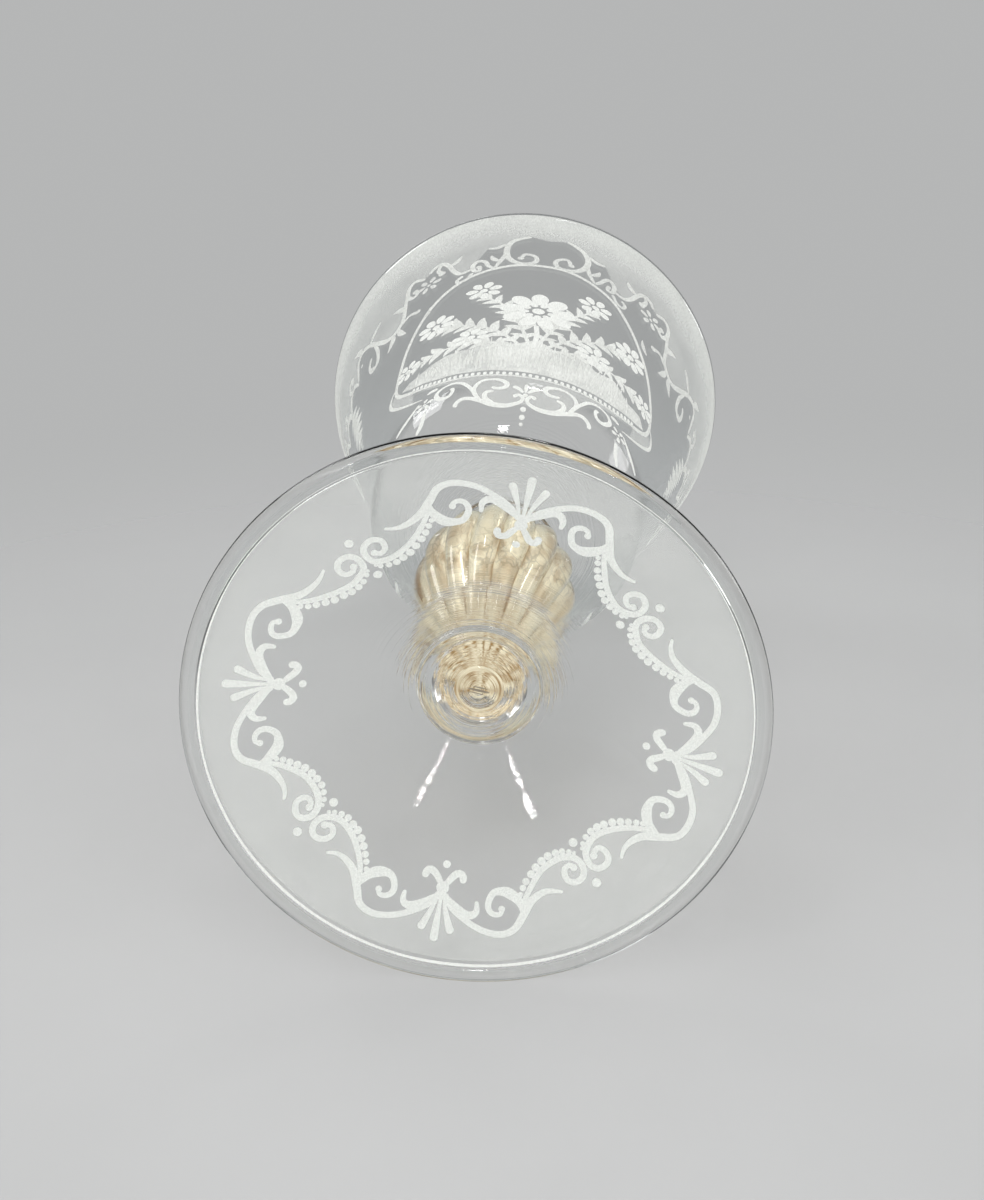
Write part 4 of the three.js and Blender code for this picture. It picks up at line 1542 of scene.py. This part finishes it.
# %% The frame
ARCH = np.array([
    (-49.0, 186.5), (-54.2, 191.0), (-58.0, 195.4), (-59.5, 200.6), (-57.6, 208.4), (-50.5, 226.5),
    (-38.9, 245.0), (-27.0, 255.2), (-13.0, 260.2), (-2.0, 261.4), (9.4, 261.0), (23.2, 255.4),
    (31.0, 248.2), (38.4, 239.6), (47.3, 228.0), (55.0, 214.5), (58.2, 206.0), (58.9, 200.4),
    (57.6, 195.4), (54.0, 190.8), (49.0, 186.5),
])
FRAME_CORNER = np.array([
    (59.0, 204.0), (62.0, 201.2), (63.6, 197.4), (63.0, 192.6), (58.2, 185.2), (52.0, 178.8),
    (45.5, 174.2),
])
CORNER_WIDTHS = (0.3, 0.5, 0.7, 0.75, 0.65, 0.55, 0.3)
FRAME_INNER = np.array([(46.0, 185.4), (54.0, 191.2), (58.4, 198.2), (62.6, 198.6)])
frame_parts = [
    cut(bowl_wall, ARCH + (FRONT, 0), 0.82),
    cut(bowl_wall, mirrored(BEADED) + (FRONT, 0), 0.6),
    cut(bowl_wall, mirrored(BEADED) + (FRONT + 180, 0), 0.45),
]
corner_degrees = np.linspace(50.5, 62.6, 14)
corner_low = np.interp(corner_degrees, *FRAME_CORNER[:2:-1].T)
corner_high = np.interp(corner_degrees, *FRAME_INNER.T)
corner_grounds = []
for way in (-1, 1):
    corner = FRAME_CORNER * (way, 1) + (FRONT, 0)
    frame_parts.append(cut(bowl_wall, corner, CORNER_WIDTHS))
    degrees, low, high = (rows[::way] for rows in (corner_degrees, corner_low, corner_high))
    corner_grounds.append(frosted(bowl_wall, FRONT + way * degrees, low, high, False))
engraved("medallion_frame", frame_parts, shallow_finish)
engraved("frame_corner_ground", corner_grounds, dulled_finish)

# %% [markdown]
# Inside the frame rises a low bank of grass. It is a half-covering ground with a wavy top, and over
# it stand thin upright cuts of uneven length and lean, which read as hatching.

# %% The hatched bank
BANK_TOP = np.array([
    (0, 203.0), (8.0, 199.0), (17.0, 202.5), (26.0, 198.5), (35.0, 201.0), (44.0, 197.5),
    (52.0, 198.5), (56.0, 196.0),
])
BANK_SPAN, BANK_ABOVE_BEADS = 56, 4.0
BANK_WAVE, BANK_WAVES = 0.7, 23
BLADE_SPAN, BLADE_GAP, BLADE_ABOVE_BEADS = 54, 1.7, 5.0
BLADE_WIDTHS, SHORTEST_BLADE = (0.28, 0.5, 0.15), 4
bank_degrees = np.arange(-BANK_SPAN, BANK_SPAN + 0.1, 1.0)
bank_low = np.interp(abs(bank_degrees), *BEAD_LINE.T) + BANK_ABOVE_BEADS
bank_top = np.interp(abs(bank_degrees), *BANK_TOP.T)
bank_top = bank_top + BANK_WAVE * np.sin(np.radians(bank_degrees * BANK_WAVES))
bank_top = np.maximum(bank_top, bank_low + 0.3)
bank = frosted(bowl_wall, FRONT + bank_degrees, bank_low, bank_top, False)
engraved("medallion_bank", [bank], hatched_finish)

blades = []
for degree in np.arange(-BLADE_SPAN, BLADE_SPAN + 0.1, BLADE_GAP):
    low = np.interp(abs(degree), *BEAD_LINE.T) + BLADE_ABOVE_BEADS + hand.uniform(0, 6)
    top = np.interp(abs(degree), *BANK_TOP.T) + hand.uniform(-5, 3.5)
    if top - low > SHORTEST_BLADE:
        lean = hand.uniform(-2.2, 2.2)
        path = [(degree, low), (degree + lean * 0.3, (low + top) / 2), (degree + lean, top)]
        blades.append(cut(bowl_wall, np.array(path) + (FRONT, 0), BLADE_WIDTHS, 1.6))
engraved("medallion_blades", blades, leafy_finish)

# %% [markdown]
# A spray of flowers grows from the bank: three leafy stems each way, a large double flower in the
# middle and four smaller ones on each side. Each frond is (points, pairs of leaves, leaf length),
# and each bloom is (place, reach, petals, petal half-width, heart).

# %% Flower spray
FRONDS = [
    ([(8.0, 197.0), (22.0, 203.0), (38.0, 206.5), (51.0, 206.0)], 8, 8.0),
    ([(5.0, 198.0), (14.0, 210.0), (26.0, 219.5), (37.0, 224.0)], 8, 8.6),
    ([(2.0, 200.0), (6.5, 216.0), (13.0, 230.0), (21.0, 240.0)], 8, 7.6),
]
BLOOMS = [
    ((38.5, 227.5), 7.4, 8, 1.75, 1.5), ((20.0, 243.0), 6.6, 7, 1.6, 1.4),
    ((51.5, 207.5), 5.6, 7, 1.35, 1.1), ((24.5, 207.5), 7.0, 8, 1.65, 1.5),
]
SPRAY_WANDER, BLOOM_WANDER = (0.3, 0.4), (0.4, 0.4)

leaves = []
for way in (-1, 1):
    for path, pairs, reach in FRONDS:
        strayed = led_by_hand(path, SPRAY_WANDER) * (way, 1) + (FRONT, 0)
        leaves += frond(bowl_wall, strayed, pairs, reach)
engraved("medallion_leaves", leaves, leafy_finish)

SPRAY_STEM = np.array([(0, 197.0), (0.8, 206.0), (0, 215.0)])
SPRAY_MIDDLE = (FRONT, 226.0)
spray = [cut(bowl_wall, SPRAY_STEM + (FRONT, 0), 0.9)]
spray += flower(bowl_wall, SPRAY_MIDDLE, 13.5, 9, 3.0, 2.2, 90, 0.36)
spray += flower(bowl_wall, SPRAY_MIDDLE, 7.6, 9, 1.3, 1.0, 110, 0.42)
for way in (-1, 1):
    for at, reach, petals, width, heart in BLOOMS:
        at = led_by_hand(at, BLOOM_WANDER) * (way, 1) + (FRONT, 0)
        spray += flower(bowl_wall, at, reach, petals, width, heart, hand.uniform(60, 120))
engraved("medallion_blooms", spray, cut_finish)

# %% Boxes and the end
low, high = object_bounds()
print("visual box", [round(x / MM, 2) for x in (*low, *high)])
